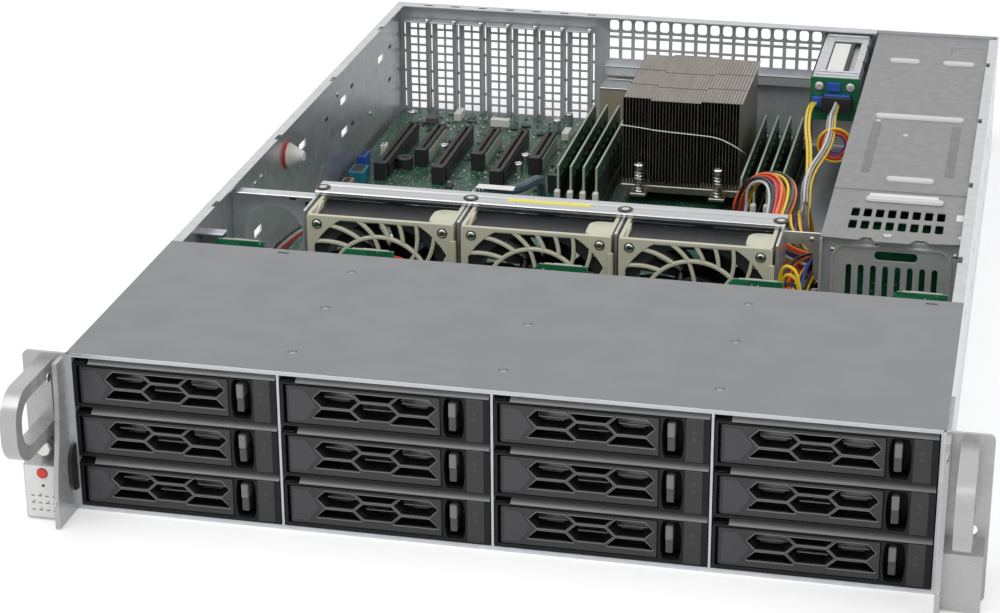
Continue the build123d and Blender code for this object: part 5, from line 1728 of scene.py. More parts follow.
@dataclass
class RearWall:
    """The rear wall with its grille, the seven slot covers and the port plate."""

    cover_pitch: float = 20.32
    cover_start: float = -INSIDE + 3.6
    covers: int = 7
    cover_width: float = 18.32
    cover_low: float = 5.0
    cover_high: float = 77.0
    hole_pitch: Point2 = (6.4, 6.2)
    hole: Point2 = (4.9, 4.7)
    cover_rows: int = 11
    grille: Point2 = (-61.0, 95.3)
    grille_columns: int = 17
    grille_rows: tuple[Point2, ...] = ((72.3, 74.6), (63.8, 70.3), (55.2, 61.9))
    light_slits: tuple[Point2, ...] = ((8.0, 20.0), (22.0, 35.0), (37.0, 50.0), (52.0, 62.0), (64.0, 73.0))
    openings: tuple[tuple[float, ...], ...] = (
        (-61.5, 34.5, 6.5, 39.2), (99.3, 127.8, 36.0, 80.0),
        (135.5, 216.1, FLOOR + 0.2, 42.6), (135.5, 216.1, 43.8, 84.8),
    )

    def cover_sheet(self) -> None:
        """The slot covers, each with two columns of eleven square holes and a folded tab."""
        piece = Workpiece("slot_cover_sheets")
        back = REAR - 1.2
        standing = Matrix.Translation((0, back, 0)) @ Facing.FRONT.value
        for index in range(self.covers):
            x = self.cover_start + (index + 0.5) * self.cover_pitch
            half = self.cover_width / 2
            middle = (self.cover_low + self.cover_high) / 2
            tall = self.hole_pitch[1] * self.cover_rows
            window = rectangle(
                x - self.hole_pitch[0], x + self.hole_pitch[0], middle - tall / 2, middle + tall / 2,
            )
            piece.plate(
                rectangle(x - half, x + half, self.cover_low, self.cover_high), [window], Facing.FRONT,
                back - 1.0, 1.0, ZINC, bevel=0.15,
            )
            piece.perforated(x, middle, self.hole_pitch, (2, self.cover_rows), self.hole, standing, 1.0, ZINC)
            piece.block(
                (x - half, back - 11.0, self.cover_high - 1.0), (x + half, back, self.cover_high), ZINC,
                bevel=0.2,
            )
            for edge in (x - half, x + half - 1.0):
                piece.block(
                    (edge, back - 2.6, self.cover_low + 1.0), (edge + 1.0, back - 0.6, self.cover_high - 1.5),
                    ZINC, bevel=0.2,
                )
        piece.done(CHASSIS, "zinc_steel", ["slot_covers"])

    def panel(self) -> None:
        """The wall itself, with the fine grille over the ports."""
        piece = Workpiece("rear_wall_sheet")
        back = REAR
        holes = []
        for index in range(self.covers):
            x = self.cover_start + (index + 0.5) * self.cover_pitch
            holes.append(rectangle(x - 8.2, x + 8.2, self.cover_low + 1.5, self.cover_high - 1.5))
        left, right = self.grille
        pitch = (right - left) / self.grille_columns
        for column in range(self.grille_columns):
            x = left + (column + 0.5) * pitch
            wide = pitch * 0.36
            holes.append(rounded(x - wide, x + wide, 76.5, 84.0, 1.9, 3))
            holes += [rectangle(x - wide, x + wide, low, high) for low, high in self.grille_rows]
        for index in range(self.covers + 1):
            x = self.cover_start + index * self.cover_pitch
            holes += [rectangle(x - 0.6, x + 0.6, low, high) for low, high in self.light_slits]
        holes += [rectangle(*opening) for opening in self.openings]
        piece.plate(
            rectangle(-INSIDE, INSIDE, FLOOR, 88.0), holes, Facing.FRONT, back - 1.2, 1.2, ZINC, bevel=0.15,
        )
        piece.block((-INSIDE, back - 9.0, 86.8), (133.3, back - 1.0, 88.0), ZINC, bevel=0.25)
        piece.block((-62.0, back - 8.0, 50.0), (98.0, back - 1.2, 51.4), ZINC, bevel=0.3)
        piece.block((-62.0, back - 8.0, 44.0), (98.0, back - 6.8, 51.0), ZINC, bevel=0.3)
        # Blocks of painted shade in the gaps along the top fold.
        for x in [self.cover_start + (index + 0.95) * self.cover_pitch for index in range(self.covers)]:
            piece.block((x - 3.0, back - 6.4, 87.9), (x + 3.0, back - 4.4, 88.0), SHADE_BLACK)
        screws = [
            stand(self.cover_start + (index + 0.9) * self.cover_pitch, back - 6.6, 77.0)
            for index in range(self.covers)
        ]
        piece.repeat(Fastener(2.7, 1.4).screw(), screws, STEEL, wobble=60, seed=9)
        piece.done(CHASSIS, "zinc_steel", ["rear_panel"])

    def ports(self) -> None:
        """The plate over the ports and the folded wall beside it."""
        piece = Workpiece("port_plate")
        y = REAR - 30.2
        piece.plate(rounded(-61.4, 34.4, 8.3, 42.0, 1.0, 2), [], Facing.FRONT, y - 0.5, 0.6, BEIGE, bevel=0.1)
        piece.block((-61.4, y - 1.2, 41.0), (34.4, y + 20.0, 42.0), RAIL, bevel=0.3)
        piece.done(CHASSIS, "zinc_steel")

    def build(self) -> None:
        """Builds the whole rear."""
        self.cover_sheet()
        self.panel()
        self.ports()


@dataclass
class MainBoard:
    """The motherboard with its sockets, memory and the small parts between them."""

    top: float = 8.1
    card_pitch: float = 20.32
    card_first: float = -190.44
    card_rear: float = REAR - 69.0
    card_sockets: int = 7
    memory_ends: Point2 = (121.0, 262.0)
    memory_pitch: float = 8.6
    memory_first: Point2 = (-32.3, 63.6)
    bank: int = 4
    module: Point2 = (11.1, 41.1)
    plugs: tuple[tuple[Any, ...], ...] = (
        (62.0, 73.0, 50.0, 102.0, 12.6, WHITE_PLUG), (81.5, 93.5, 0.0, 20.0, 11.6, WHITE_PLUG),
        (-127.8, -111.8, 0.0, 7.0, 8.6, BLACK_LEAD), (-71.8, -55.8, 0.0, 7.0, 8.6, BLACK_LEAD),
        (-197.8, -181.8, 0.0, 7.0, 8.6, TAN_PLUG), (-163.8, -147.8, 0.0, 7.0, 8.6, WHITE_PLUG),
        (-210.0, -199.0, 150.0, 166.0, 9.0, TEAL_PLUG), (-210.0, -203.0, 128.0, 142.0, 8.0, TAN_PLUG),
        (-211.0, -205.0, 176.0, 190.0, 11.0, BLUE_PLUG), (-199.5, -195.5, 196.0, 203.0, 13.0, WHITE_PLUG),
        (-118.0, -110.0, 128.0, 134.0, 9.0, WHITE_PLUG), (-102.0, -84.0, 118.0, 126.0, 7.0, WHITE_PLUG),
        (-10.0, 8.0, 104.0, 110.0, 9.0, BLUE_PLUG), (20.0, 44.0, 100.0, 107.0, 9.0, TEAL_PLUG),
    )
    open_areas: tuple[tuple[float, ...], ...] = (
        (-210.0, -60.0, -16.0, -3.0), (-210.0, -60.0, 12.0, 106.0), (-50.0, 56.0, -14.0, 96.0),
        (-205.0, -70.0, 264.0, 312.0), (-18.0, 56.0, 262.0, 290.0), (-16.0, 56.0, 100.0, 140.0),
    )

    def sockets(self) -> None:
        """The card sockets, the memory sockets and the large connectors."""
        piece = Workpiece("board_socket_shells")
        top = self.top
        for index in range(self.card_sockets):
            x = self.card_first + index * self.card_pitch
            length = 57.0 if index % 2 else 89.0
            y0, y1 = self.card_rear - length, self.card_rear
            walls = (
                (-3.8, -1.0, y0, y1), (1.0, 3.8, y0, y1), (-3.8, 3.8, y0, y0 + 2.2),
                (-3.8, 3.8, y1 - 2.2, y1),
            )
            for x0, x1, near, far in walls:
                piece.block((x + x0, near, top), (x + x1, far, top + 11.4), SOCKET, bevel=0.35)
            piece.block((x - 1.2, y0 + 1.0, top), (x + 1.2, y1 - 1.0, top + 4.0), SOCKET)
            piece.block((x - 4.2, y0 - 5.0, top), (x + 4.2, y0 + 0.3, top + 13.0), SOCKET, bevel=0.5)
            piece.block(
                (x + 4.0, y0 + 4.0, top), (x + 4.6, y1 - 4.0, top + 9.0), PALE_EDGE if index % 2 else SOCKET
            )
            contact = Workpiece("contact")
            contact.block((-0.25, -0.3, 0.0), (0.25, 0.3, 3.0), GOLD)
            places = [
                stand(x + side * 0.9, y0 + 4.0 + step * 2.0, top + 7.0) for side in (-1, 1)
                for step in range(int((length - 8) / 2))
            ]
            piece.repeat(contact, places, GOLD)
        for x in self.memory_xs():
            y0, y1 = self.memory_ends
            for x0, x1 in ((-3.2, -1.7), (1.7, 3.2)):
                piece.block((x + x0, y0 + 3.0, top), (x + x1, y1 - 3.0, top + 8.0), SOCKET, bevel=0.3)
            for near, far in ((y0, y0 + 4.0), (y1 - 4.0, y1)):
                piece.block((x - 3.2, near, top), (x + 3.2, far, top + 9.5), SOCKET, bevel=0.4)
            for near, far in ((y0 - 1.0, y0 + 3.6), (y1 - 3.6, y1 + 1.0)):
                piece.block((x - 1.8, near, top + 6.0), (x + 1.8, far, top + 17.0), WHITE_PLUG, bevel=0.5)
            piece.block((x - 1.7, y0 + 4.0, top), (x + 1.7, y1 - 4.0, top + 3.0), SOCKET)
        self.connectors(piece)
        piece.done(CHASSIS, "socket_black", ["board_sockets"])

    def connectors(self, piece: Workpiece) -> None:
        """The processor's socket, the ports and the plugs along the board's front."""
        top = self.top
        piece.block((-9.5, 178.0, top), (48.5, 236.0, 16.1), SOCKET, bevel=0.6)
        piece.block((-61.5, 294.0, top), (34.5, 316.0, top + 29.6), BEIGE, bevel=0.6)
        for x0, x1, y0, y1, height, finish in self.plugs:
            piece.block((x0, y0, top), (x1, y1, top + height), finish, bevel=0.5)
            # Each plug's opening is a block of painted shade.
            piece.block(
                (x0 + 1.4, y0 + 1.4, top + height - 0.5), (x1 - 1.4, y1 - 1.4, top + height + 0.05), SHADE_BLACK,
            )
        piece.disc(
            (-180.3, 190.0, top), UP, [(6.0, 0.0), (6.0, 7.4), (5.4, 8.0), (1.4, 8.0), (1.2, 7.2)], SOCKET,
            28,
        )

    def memory_xs(self) -> list[float]:
        """The middle of each memory module."""
        left, right = self.memory_first
        steps = [index * self.memory_pitch for index in range(self.bank)]
        return [left - step for step in steps] + [right + step for step in steps]

    def modules(self) -> None:
        """The memory modules with their chips, contacts and pale cut edges."""
        piece = Workpiece("memory_boards")
        low, high = self.module
        chips: list[Matrix] = []
        for x in self.memory_xs():
            piece.block((x - 0.65, 125.0, low), (x + 0.65, 258.0, high - 0.35), MODULE)
            piece.block((x - 0.65, 125.0, high - 0.4), (x + 0.65, 258.0, high), PALE_EDGE)
            piece.block((x - 0.7, 124.95, low + 1.0), (x + 0.7, 125.3, high), PALE_EDGE)
            for side in (-1, 1):
                for step in range(9):
                    chips.append(stand(x + side * 1.0, 133.0 + step * 14.6, 27.0))
            piece.block((x - 0.72, 128.0, low), (x + 0.72, 255.0, low + 3.5), GOLD)
        unit = Workpiece("chip")
        unit.block((-0.45, -4.4, -6.2), (0.45, 4.4, 6.2), CHIP, bevel=0.15)
        piece.repeat(unit, chips, CHIP)
        piece.done(CHASSIS, "board_green", ["memory_modules"])

    def small_parts(self) -> None:
        """Chips, coils, cans and chip resistors, set where the board is free."""
        piece = Workpiece("board_small_parts")
        chance = random.Random(21)
        top = self.top
        free = list(self.open_areas)
        for index in range(self.card_sockets - 1):
            x = self.card_first + index * self.card_pitch
            free.append((x + 5.6, x + 14.4, 108.0, 254.0))

        def spots(count: int, margin: float) -> list[tuple[float, float]]:
            """Seeded spots in the free areas, larger areas first."""
            areas = [(x1 - x0) * (y1 - y0) for x0, x1, y0, y1 in free]
            found: list[tuple[float, float]] = []
            for _ in range(count * 6):
                x0, x1, y0, y1 = chance.choices(free, weights=areas)[0]
                if x1 - x0 < 2 * margin:
                    continue
                spot = (chance.uniform(x0 + margin, x1 - margin), chance.uniform(y0 + margin, y1 - margin))
                if all(math.dist(spot, other) > margin * 2 for other in found + taken):
                    found.append(spot)
                if len(found) == count:
                    break
            taken.extend(found)
            return found

        taken: list[tuple[float, float]] = []
        large = Workpiece("controller")
        large.block((-9.0, -9.0, 0.0), (9.0, 9.0, 2.0), CHIP, bevel=0.3)
        large.block((-7.0, -7.0, 2.0), (7.0, 7.0, 2.4), CHIP, bevel=0.2)
        piece.repeat(large, [stand(x, y, top) for x, y in spots(5, 11.0)], CHIP)
        coil = Workpiece("coil")
        coil.block((-4.0, -4.0, 0.0), (4.0, 4.0, 5.5), FERRITE, bevel=0.7)
        piece.repeat(coil, [stand(x, y, top) for x, y in spots(16, 5.0)], FERRITE)
        can = Workpiece("can")
        can.disc((0, 0, 0), UP, [(3.0, 0.0), (3.0, 7.4), (2.7, 7.8), (2.5, 7.6), (0.3, 7.6)], CAN, 16)
        piece.repeat(can, [stand(x, y, top) for x, y in spots(26, 3.6)], CAN)
        header = Workpiece("header")
        header.block((-2.6, -7.0, 0.0), (2.6, 7.0, 6.0), WHITE_PLUG, bevel=0.4)
        piece.repeat(
            header, [stand(x, y, top, (0, 0, chance.choice(QUARTER_TURNS))) for x, y in spots(9, 7.5)],
            WHITE_PLUG,
        )
        small = Workpiece("small_chip")
        small.block((-2.4, -3.2, 0.0), (2.4, 3.2, 1.4), CHIP, bevel=0.15)
        piece.repeat(
            small, [stand(x, y, top, (0, 0, chance.choice(QUARTER_TURNS))) for x, y in spots(70, 3.4)], CHIP,
        )
        for finish, half, count in ((FERRITE, 0.7, 260), (WHITE_PLUG, 0.5, 200), (CAN, 0.5, 180)):
            grain = Workpiece("chip_part")
            grain.block((-half * 1.8, -half, 0.0), (half * 1.8, half, half * 1.3), finish)
            piece.repeat(
                grain, [stand(x, y, top, (0, 0, chance.choice(QUARTER_TURNS))) for x, y in spots(count, 1.2)],
                finish,
            )
        screws = [stand(x, y, top) for x in (-206.0, -57.4, 91.0) for y in (-10.0, 149.0, 308.0)]
        piece.repeat(Fastener(3.2, 1.8).screw(), screws, STEEL, wobble=50, seed=3)
        piece.done(CHASSIS, "board_green")

    def build(self) -> None:
        """Builds everything that stands on the board."""
        self.sockets()
        self.modules()
        self.small_parts()


@dataclass
class Harness:
    """The leads between the power board, the motherboard, the small bay and the backplane."""

    gauge: float = 1.9
    sleeve: tuple[Point3, ...] = (
        (-96.7, 36.9, 9.0), (-96.7, 36.9, 44.0), (-84.0, 40.0, 52.0), (-68.0, 52.0, 50.0),
        (-64.0, 84.0, 46.0),
        (-66.0, 112.0, 34.0), (-66.0, 114.0, 9.0),
    )
    data_lead: tuple[Point3, ...] = (
        (-119.8, 3.5, 17.1), (-119.8, 3.5, 35.1), (-103.8, 9.5, 45.1), (-79.8, 7.5, 44.1), (-63.8, 3.5, 35.1),
        (-63.8, 3.5, 17.1),
    )
    sleeve_rib: tuple[Point2, ...] = ((3.5, 0.0), (3.7, 0.3), (3.5, 0.6))
    bundles: tuple[Bundle, ...] = (
        Bundle(
            (
                WHITE_LEAD, BLACK_LEAD, BLUE_LEAD, RED_LEAD, RED_LEAD, ORANGE_LEAD, ORANGE_LEAD, YELLOW_LEAD,
                YELLOW_LEAD, GREEN_LEAD, BLACK_LEAD, ORANGE_LEAD,
            ),
            (
                (136.5, -57.2, 61.0), (119.5, -57.2, 61.0), (101.5, -30.2, 66.0), (102.5, 29.8, 69.0),
                (92.5, 61.8, 68.0), (76.0, 80.0, 58.1), (67.5, 80.0, 35.1), (67.5, 80.0, 21.1),
            ),
            (7.0, 7.0, 12.0, 17.0, 18.0, 18.0, 10.0, 7.0), (7.0, 7.0, 5.0, 4.0, 4.0, 5.0, 14.0, 24.0), 5,
        ),
        Bundle(
            (
                YELLOW_LEAD, YELLOW_LEAD, BLACK_LEAD, BLACK_LEAD, YELLOW_LEAD, BLACK_LEAD, PURPLE_LEAD,
                ORANGE_LEAD,
            ),
            (
                (136.5, -57.2, 45.0), (119.5, -57.2, 45.0), (100.5, -31.2, 49.0), (94.0, -6.0, 55.0),
                (87.5, 10.0, 40.1), (87.5, 10.0, 20.1),
            ),
            (7.0, 7.0, 10.0, 12.0, 8.0, 7.0), (6.0, 6.0, 5.0, 5.0, 7.0, 8.0), 6,
        ),
        Bundle(
            (GREY_LEAD, WHITE_LEAD, GREY_LEAD, YELLOW_LEAD),
            (
                (136.5, -57.2, 29.0), (116.5, -57.2, 29.0), (104.5, -35.2, 39.0), (116.5, 18.8, 59.0),
                (110.5, 72.8, 65.0), (119.8, 128.8, 67.0), (115.8, 175.2, 71.0), (115.8, 197.2, 67.0),
                (115.8, 211.2, 67.0),
            ),
            (4.0, 4.0, 5.0, 6.0, 6.0, 6.0, 6.0, 5.0, 4.0), (4.0,) * 9, 7, 1.6,
        ),
    )
    front_colours: tuple[Finish, ...] = (
        YELLOW_LEAD, BLACK_LEAD, RED_LEAD, BLACK_LEAD, YELLOW_LEAD, PURPLE_LEAD, ORANGE_LEAD, BLACK_LEAD,
        BLUE_LEAD,
    )
    plug_colours: tuple[Finish, ...] = (
        RED_LEAD, ORANGE_LEAD, YELLOW_LEAD, BLACK_LEAD, ORANGE_LEAD, BLUE_LEAD, RED_LEAD,
    )
    middle_colours: tuple[Finish, ...] = (
        YELLOW_LEAD, RED_LEAD, BLACK_LEAD, ORANGE_LEAD, YELLOW_LEAD, PURPLE_LEAD,
    )
    ring_middle: Point3 = (121.0, 152.0, 60.0)
    rings: tuple[tuple[float, Finish], ...] = (
        (9.5, RED_LEAD), (8.0, ORANGE_LEAD), (11.0, YELLOW_LEAD), (7.0, PURPLE_LEAD),
    )

    def loose_leads(self, wiring: Wiring) -> None:
        """The leads that wander from the bundles, between the last fan and the cage and by the small bay."""
        chance = random.Random(31)
        for step in range(26):
            colour = self.front_colours[step % len(self.front_colours)]
            x = chance.uniform(114.5, 128.0)
            z = chance.uniform(30.0, 68.0)
            wiring.lead(colour, self.gauge, [
                (133.0, -58.0 + chance.uniform(-3, 3), z), (x + 4.0, -64.0, z - 1.0),
                (x, -78.0 + chance.uniform(-5, 5), z - 6.0),
                (x - 1.0, -100.0, z * 0.6 + 8.0), (x + 2.0, -122.0, z * 0.4 + 8.0), (x + 4.0, -140.0, 14.0),
            ])
        for step in range(3):
            rise = 66.0 - step * 5.0
            wiring.lead((YELLOW_LEAD, YELLOW_LEAD, BLACK_LEAD)[step], self.gauge, [
                (114.5 + step, -106.0, 30.0), (114.5 + step, -110.0, rise + 4.0),
                (119.0 + step, -116.0, rise + 16.0),
                (129.0, -120.0, rise + 10.0), (132.5 - step, -124.0, 24.0),
            ])
        for step in range(14):
            colour = self.plug_colours[step % len(self.plug_colours)]
            x, y = 95.0 + chance.uniform(-5, 14), -22.0 + chance.uniform(-8, 20)
            z = 34.0 + chance.uniform(0, 26)
            wiring.lead(colour, self.gauge, [
                (122.0, -46.0, z), (x + 10.0, y - 14.0, z + 4.0), (x, y, z + 8.0), (x - 4.0, y + 18.0, z),
                (x - 3.0 + chance.uniform(0, 4), y + 26.0, 14.0),
            ])
        for step in range(18):
            colour = self.middle_colours[step % len(self.middle_colours)]
            x, z = 112.0 + chance.uniform(-3.0, 14.0), 40.0 + chance.uniform(0.0, 32.0)
            wiring.lead(colour, self.gauge, [
                (126.0, -44.0, z - 6.0), (x + 3.0, -26.0, z), (x, -4.0 + chance.uniform(-6, 8), z + 2.0),
                (x - 4.0, 24.0, z - 4.0), (x - 2.0, 44.0 + chance.uniform(-8, 12), z - 14.0),
                (x + 2.0, 56.0, 16.0),
            ])
        for offset in (0.0, 2.2):
            wiring.lead(YELLOW_LEAD, self.gauge, [
                (112.0 + offset, 60.0, 62.0), (108.0 + offset, 110.0, 66.0), (100.0 + offset, 160.0, 69.0),
                (98.0 + offset, 205.0, 70.0), (102.0 + offset, 236.0, 62.0),
            ])
        x, y, z = self.ring_middle
        for radius, colour in self.rings:
            ring = []
            for turn in range(-10, 16):
                angle = math.radians(turn * 20.0)
                ring.append((x + radius * math.cos(angle), y - turn * 0.3, z + radius * math.sin(angle)))
            wiring.lead(colour, 1.7, ring)

    def build(self) -> None:
        """Draws every bundle along the CAD harness's routes."""
        wiring = Wiring()
        for bundle in self.bundles:
            wiring.bundle(bundle)
        self.loose_leads(wiring)
        piece = Workpiece("harness_leads")
        wiring.into(piece)
        piece.take(swept(self.sleeve, 6.5, 3, 8), SLEEVE)
        ribs = Workpiece("sleeve_rib")
        ribs.disc((0, 0, -0.3), UP, self.sleeve_rib, SLEEVE, 12)
        places = [stand(-92.0 + step * 2.0, 38.6 + step * 0.9, 50.2, (0, 90, 24)) for step in range(9)]
        piece.repeat(ribs, places, SLEEVE)
        piece.block((-93.0, 37.0, 54.4), (-69.0, 44.5, 54.8), LABEL, bevel=0.1)
        piece.take(swept(self.data_lead, 4.0, 3), SLEEVE)
        piece.done(CHASSIS, "cable_mixed", ["cable_harness"])


@dataclass
class BayCover:
    """The plain cover over the drive bays, with its sunk screws and bright front fold."""

    rear: float = FRONT + 156.0
    thickness: float = 1.2
    dimple: float = 2.6
    half: float = 218.5
    slots: tuple[float, ...] = (-152.1, 202.1)

    def sunk_screws(self) -> list[Point2]:
        """Where the cover's screws are."""
        places = [(x, FRONT + y) for x in (-107.8, 0.5, 108.0) for y in (24.0, 82.0, 132.0)]
        places.remove((0.5, FRONT + 132.0))
        return places

    def build(self) -> None:
        """Makes the plate, its dimples and the screws in them."""
        piece = Workpiece("bay_cover_sheet")
        holes = []
        low = ROOF - self.thickness
        for x, y in self.sunk_screws():
            dimple = circle(x, y, self.dimple, 28)
            holes.append(dimple)
            levels = ((1.0, ROOF + 1.15), (0.93, ROOF + 0.9), (0.66, low), (0.6, low), (0.02, low))
            piece.layers([(shrunk(dimple, share), z) for share, z in levels], Facing.TOP, COVER)
        for x in self.slots:
            holes.append(rectangle(x - 3.0, x + 3.0, self.rear - 6.0, self.rear - 4.0))
        outline = rectangle(-self.half, self.half, FRONT, self.rear)
        piece.plate(outline, holes, Facing.TOP, ROOF + self.thickness, self.thickness, COVER)
        piece.block((-INSIDE, FRONT - 0.05, ROOF - 0.4), (INSIDE, FRONT + 0.9, 87.95), RAIL, bevel=0.25)
        screws = [stand(x, y, low) for x, y in self.sunk_screws()]
        piece.repeat(Fastener(1.5, 1.0).screw(), screws, STEEL, wobble=80, seed=12)
        piece.done(CHASSIS, "cover_grey", ["drive_bay_cover"])


@dataclass
class EarDetails:
    """The small things on the rack ears: screws, rivets, icons and the dark oval pad."""

    wall: float = 218.5
    face: float = FRONT - 15.05
    middle: float = 229.9
    label: tuple[float, ...] = (-239.4, -221.4, 1.6, 30.6)
    openings: tuple[Point2, ...] = ((3.1, 26.5), (0.95, 19.5))
    thumbscrew: tuple[Point2, ...] = (
        (3.8, 0.0), (3.8, 1.2), (2.4, 1.6), (2.4, 3.4), (4.4, 4.0), (4.4, 9.4), (3.6, 10.2), (1.0, 10.2),
    )
    rivets: tuple[Point2, ...] = ((FRONT - 20.0, 83.0), (FRONT - 22.0, 14.5))
    rivet_head: tuple[Point2, ...] = ((2.3, -0.3), (2.2, 0.3), (1.4, 0.8), (0.2, 0.9))
    icon_rows: Point3 = (13.6, 9.6, 5.6)
    icon_step: float = 3.8
    oval: tuple[float, ...] = (FRONT - 9.5, FRONT + 8.5, 12.0, 38.0)
    oval_levels: tuple[Point2, ...] = ((0.0, 1.0), (0.3, 0.98), (0.5, 0.9))

    def build(self) -> None:
        """Makes the details of both ears."""
        piece = Workpiece("ear_details")
        x, y = -self.middle, FRONT - 2.0
        holes = [circle(x, z, radius, 24) for radius, z in self.openings]
        label = rounded(*self.label, 0.8, 2)
        piece.plate(label, holes, Facing.FRONT, self.face - 0.05, 0.15, LABEL)
        piece.disc((x, y, 38.6), FORWARD, self.thumbscrew, STEEL, 24)
        for rivet_y, z in self.rivets:
            for side in (-1, 1):
                place = (side * (self.wall + 1.5), rivet_y, z)
                piece.disc(place, (side, 0, 0), self.rivet_head, STEEL, 16)
        marks = Workpiece("mark")
        marks.block((-0.9, -0.3, 0.0), (0.9, 0.3, 0.06), FERRITE)
        places = []
        for row, z in enumerate(self.icon_rows):
            for column in range(4):
                places.append(stand(x - 6.0 + column * self.icon_step, self.face - 0.04, z, UPRIGHT))
                if (row + column) % 2:
                    places.append(
                        stand(
                            x - 5.4 + column * self.icon_step, self.face - 0.04, z + 1.0, (90, 0, 0),
                            (0.7, 0.7, 1.0),
                        )
                    )
        piece.repeat(marks, places, FERRITE)
        oval = rounded(*self.oval, 8.9, 8)
        inner = -self.wall + 1.35
        lines = [(shrunk(oval, share), inner + depth) for depth, share in self.oval_levels]
        piece.layers(lines, Facing.SIDE, RUBBER, closed_ends=True)
        piece.done(CHASSIS, "ear_silver")


@dataclass
class BackplaneTabs:
    """The connectors and pale cut edges along the backplane's top."""

    tabs: tuple[float, ...] = (-185.2, -109.8, 0.0, 107.7, 195.9)
    feeds: tuple[tuple[float, tuple[Finish, ...]], ...] = (
        (-109.8, (YELLOW_LEAD, BLACK_LEAD, RED_LEAD)), (0.0, (YELLOW_LEAD, RED_LEAD, BLACK_LEAD)),
        (107.7, (YELLOW_LEAD, BLACK_LEAD, RED_LEAD)),
    )
    front: float = FRONT + 176.0
    thickness: float = 1.6
    top: float = 83.0

    def build(self) -> None:
        """Makes the edges, the connectors and their short leads."""
        piece = Workpiece("backplane_trim")
        y0, y1 = self.front, self.front + self.thickness
        for x in self.tabs:
            half = 10.5
            piece.block(
                (x - half, y0 - 0.05, self.top - 0.1), (x + half, y1 + 0.05, self.top + 0.35), PALE_EDGE,
            )
            piece.block((x - 7.0, y1, 70.0), (x + 1.0, y1 + 8.0, 80.5), GREY_LEAD, bevel=0.5)
            piece.block((x + 3.0, y1, 68.0), (x + 9.5, y1 + 6.0, 79.0), WHITE_PLUG, bevel=0.5)
            piece.block((x - 9.6, y0 - 5.0, 71.0), (x - 2.0, y0, 79.5), SOCKET, bevel=0.4)
        wiring = Wiring()
        bends = (
            (0.0, 6.0, 74.0), (0.0, 16.0, 74.0), (9.0, 22.0, 68.0), (14.0, 21.0, 40.0), (15.0, 20.0, 12.0),
        )
        for x, colours in self.feeds:
            for offset, colour in zip((4.4, 6.2, 8.0), colours):
                wiring.lead(colour, 1.6, [(x + offset + side, y1 + y, z) for side, y, z in bends])
        wiring.into(piece)
        piece.done(CHASSIS, "board_green")


@dataclass
class SmallBay:
    """The small drive bay at the rear: bracket, drive, slip card and its board with the plugs."""

    left: float = 97.3
    right: float = 130.3
    front: float = FRONT + 542.8
    rear: float = REAR - 1.2
    low: float = 34.0
    high: float = 84.0
    board_low: float = 54.0

    def build(self) -> None:
        """Makes the bay."""
        piece = Workpiece("small_bay_parts")
        left, right, front, rear = self.left, self.right, self.front, self.rear
        length = rear - front
        for x in (left + 1.2, right):
            piece.plate(
                rectangle(front, rear, self.low, self.high), [], Facing.SIDE, x, 1.2, ZINC, bevel=0.15,
            )
        piece.block((left, front, self.low), (right, rear, self.low + 1.2), ZINC)
        window = rectangle(left + 8.0, right - 6.0, front + 16.0, rear - 18.0)
        piece.plate(
            rectangle(left, right, front, rear), [window], Facing.TOP, self.high, 1.2, ZINC, bevel=0.2,
        )
        piece.block(
            (left + 1.3, front + 4.0, self.low + 1.3), (right - 1.3, rear - 2.0, self.high - 4.0), SUPPLY,
            bevel=0.5,
        )
        piece.block(
            (left + 8.6, front + 18.0, self.high - 4.1), (left + 20.0, rear - 20.0, self.high - 1.4), LABEL,
            bevel=0.2,
        )
        # A slot of painted shade beside the label.
        piece.block(
            (left + 20.2, front + 16.5, self.high - 4.1), (left + 22.6, rear - 18.5, self.high - 0.9), SHADE_BLACK,
        )
        for y in (front + 5.0, front + 11.0):
            piece.block(
                (left + 2.0, y, self.high - 0.1), (right - 2.0, y + 2.2, self.high + 0.9), ZINC, bevel=0.4,
            )
        piece.block(
            (left + 2.0, rear - 9.0, self.high), (right - 2.0, rear - 1.0, self.high + 1.2), ZINC, bevel=0.4,
        )
        # Blocks of painted shade for the gaps in the bracket's side.
        for y in (front + length * 0.35, front + length * 0.7):
            piece.block(
                (right - 1.6, y, self.high - 6.0), (right + 0.6, y + 5.0, self.high + 0.4), SHADE_BLACK, bevel=0.2,
            )
        screws = [
            stand(left + 5.0, rear - 14.0, self.high), stand(right - 4.0, rear - 14.0, self.high),
            stand(left + 4.0, front + 13.0, self.high),
        ]
        piece.repeat(Fastener(2.2, 0.9).screw(), screws, STEEL, wobble=70, seed=15)
        face = front - 1.6
        piece.block((left, face, self.board_low), (right, front, self.high), BACKBOARD)
        # Two screws in the pale painted-highlight finish.
        bright = [stand(x, face, 78.0, UPRIGHT) for x in (left + 6.0, right - 6.0)]
        piece.repeat(Fastener(2.9, 1.2).screw(), bright, HIGHLIGHT_PALE, wobble=70, seed=16)
        piece.block((left + 11.0, face - 2.0, 75.0), (left + 20.5, face, 81.0), BLUE_PLUG, bevel=0.3)
        piece.block((left + 1.5, face - 4.0, 64.0), (left + 9.5, face, 71.0), BLUE_PLUG, bevel=0.4)
        piece.block((105.8, 211.2, 62.0), (125.8, face, 72.0), SOCKET, bevel=0.4)
        piece.block((107.0, 212.6, 70.2), (124.6, face, 73.2), BLUE_PLUG, bevel=0.4)
        piece.done(CHASSIS, "zinc_steel", ["rear_drive_bay"])


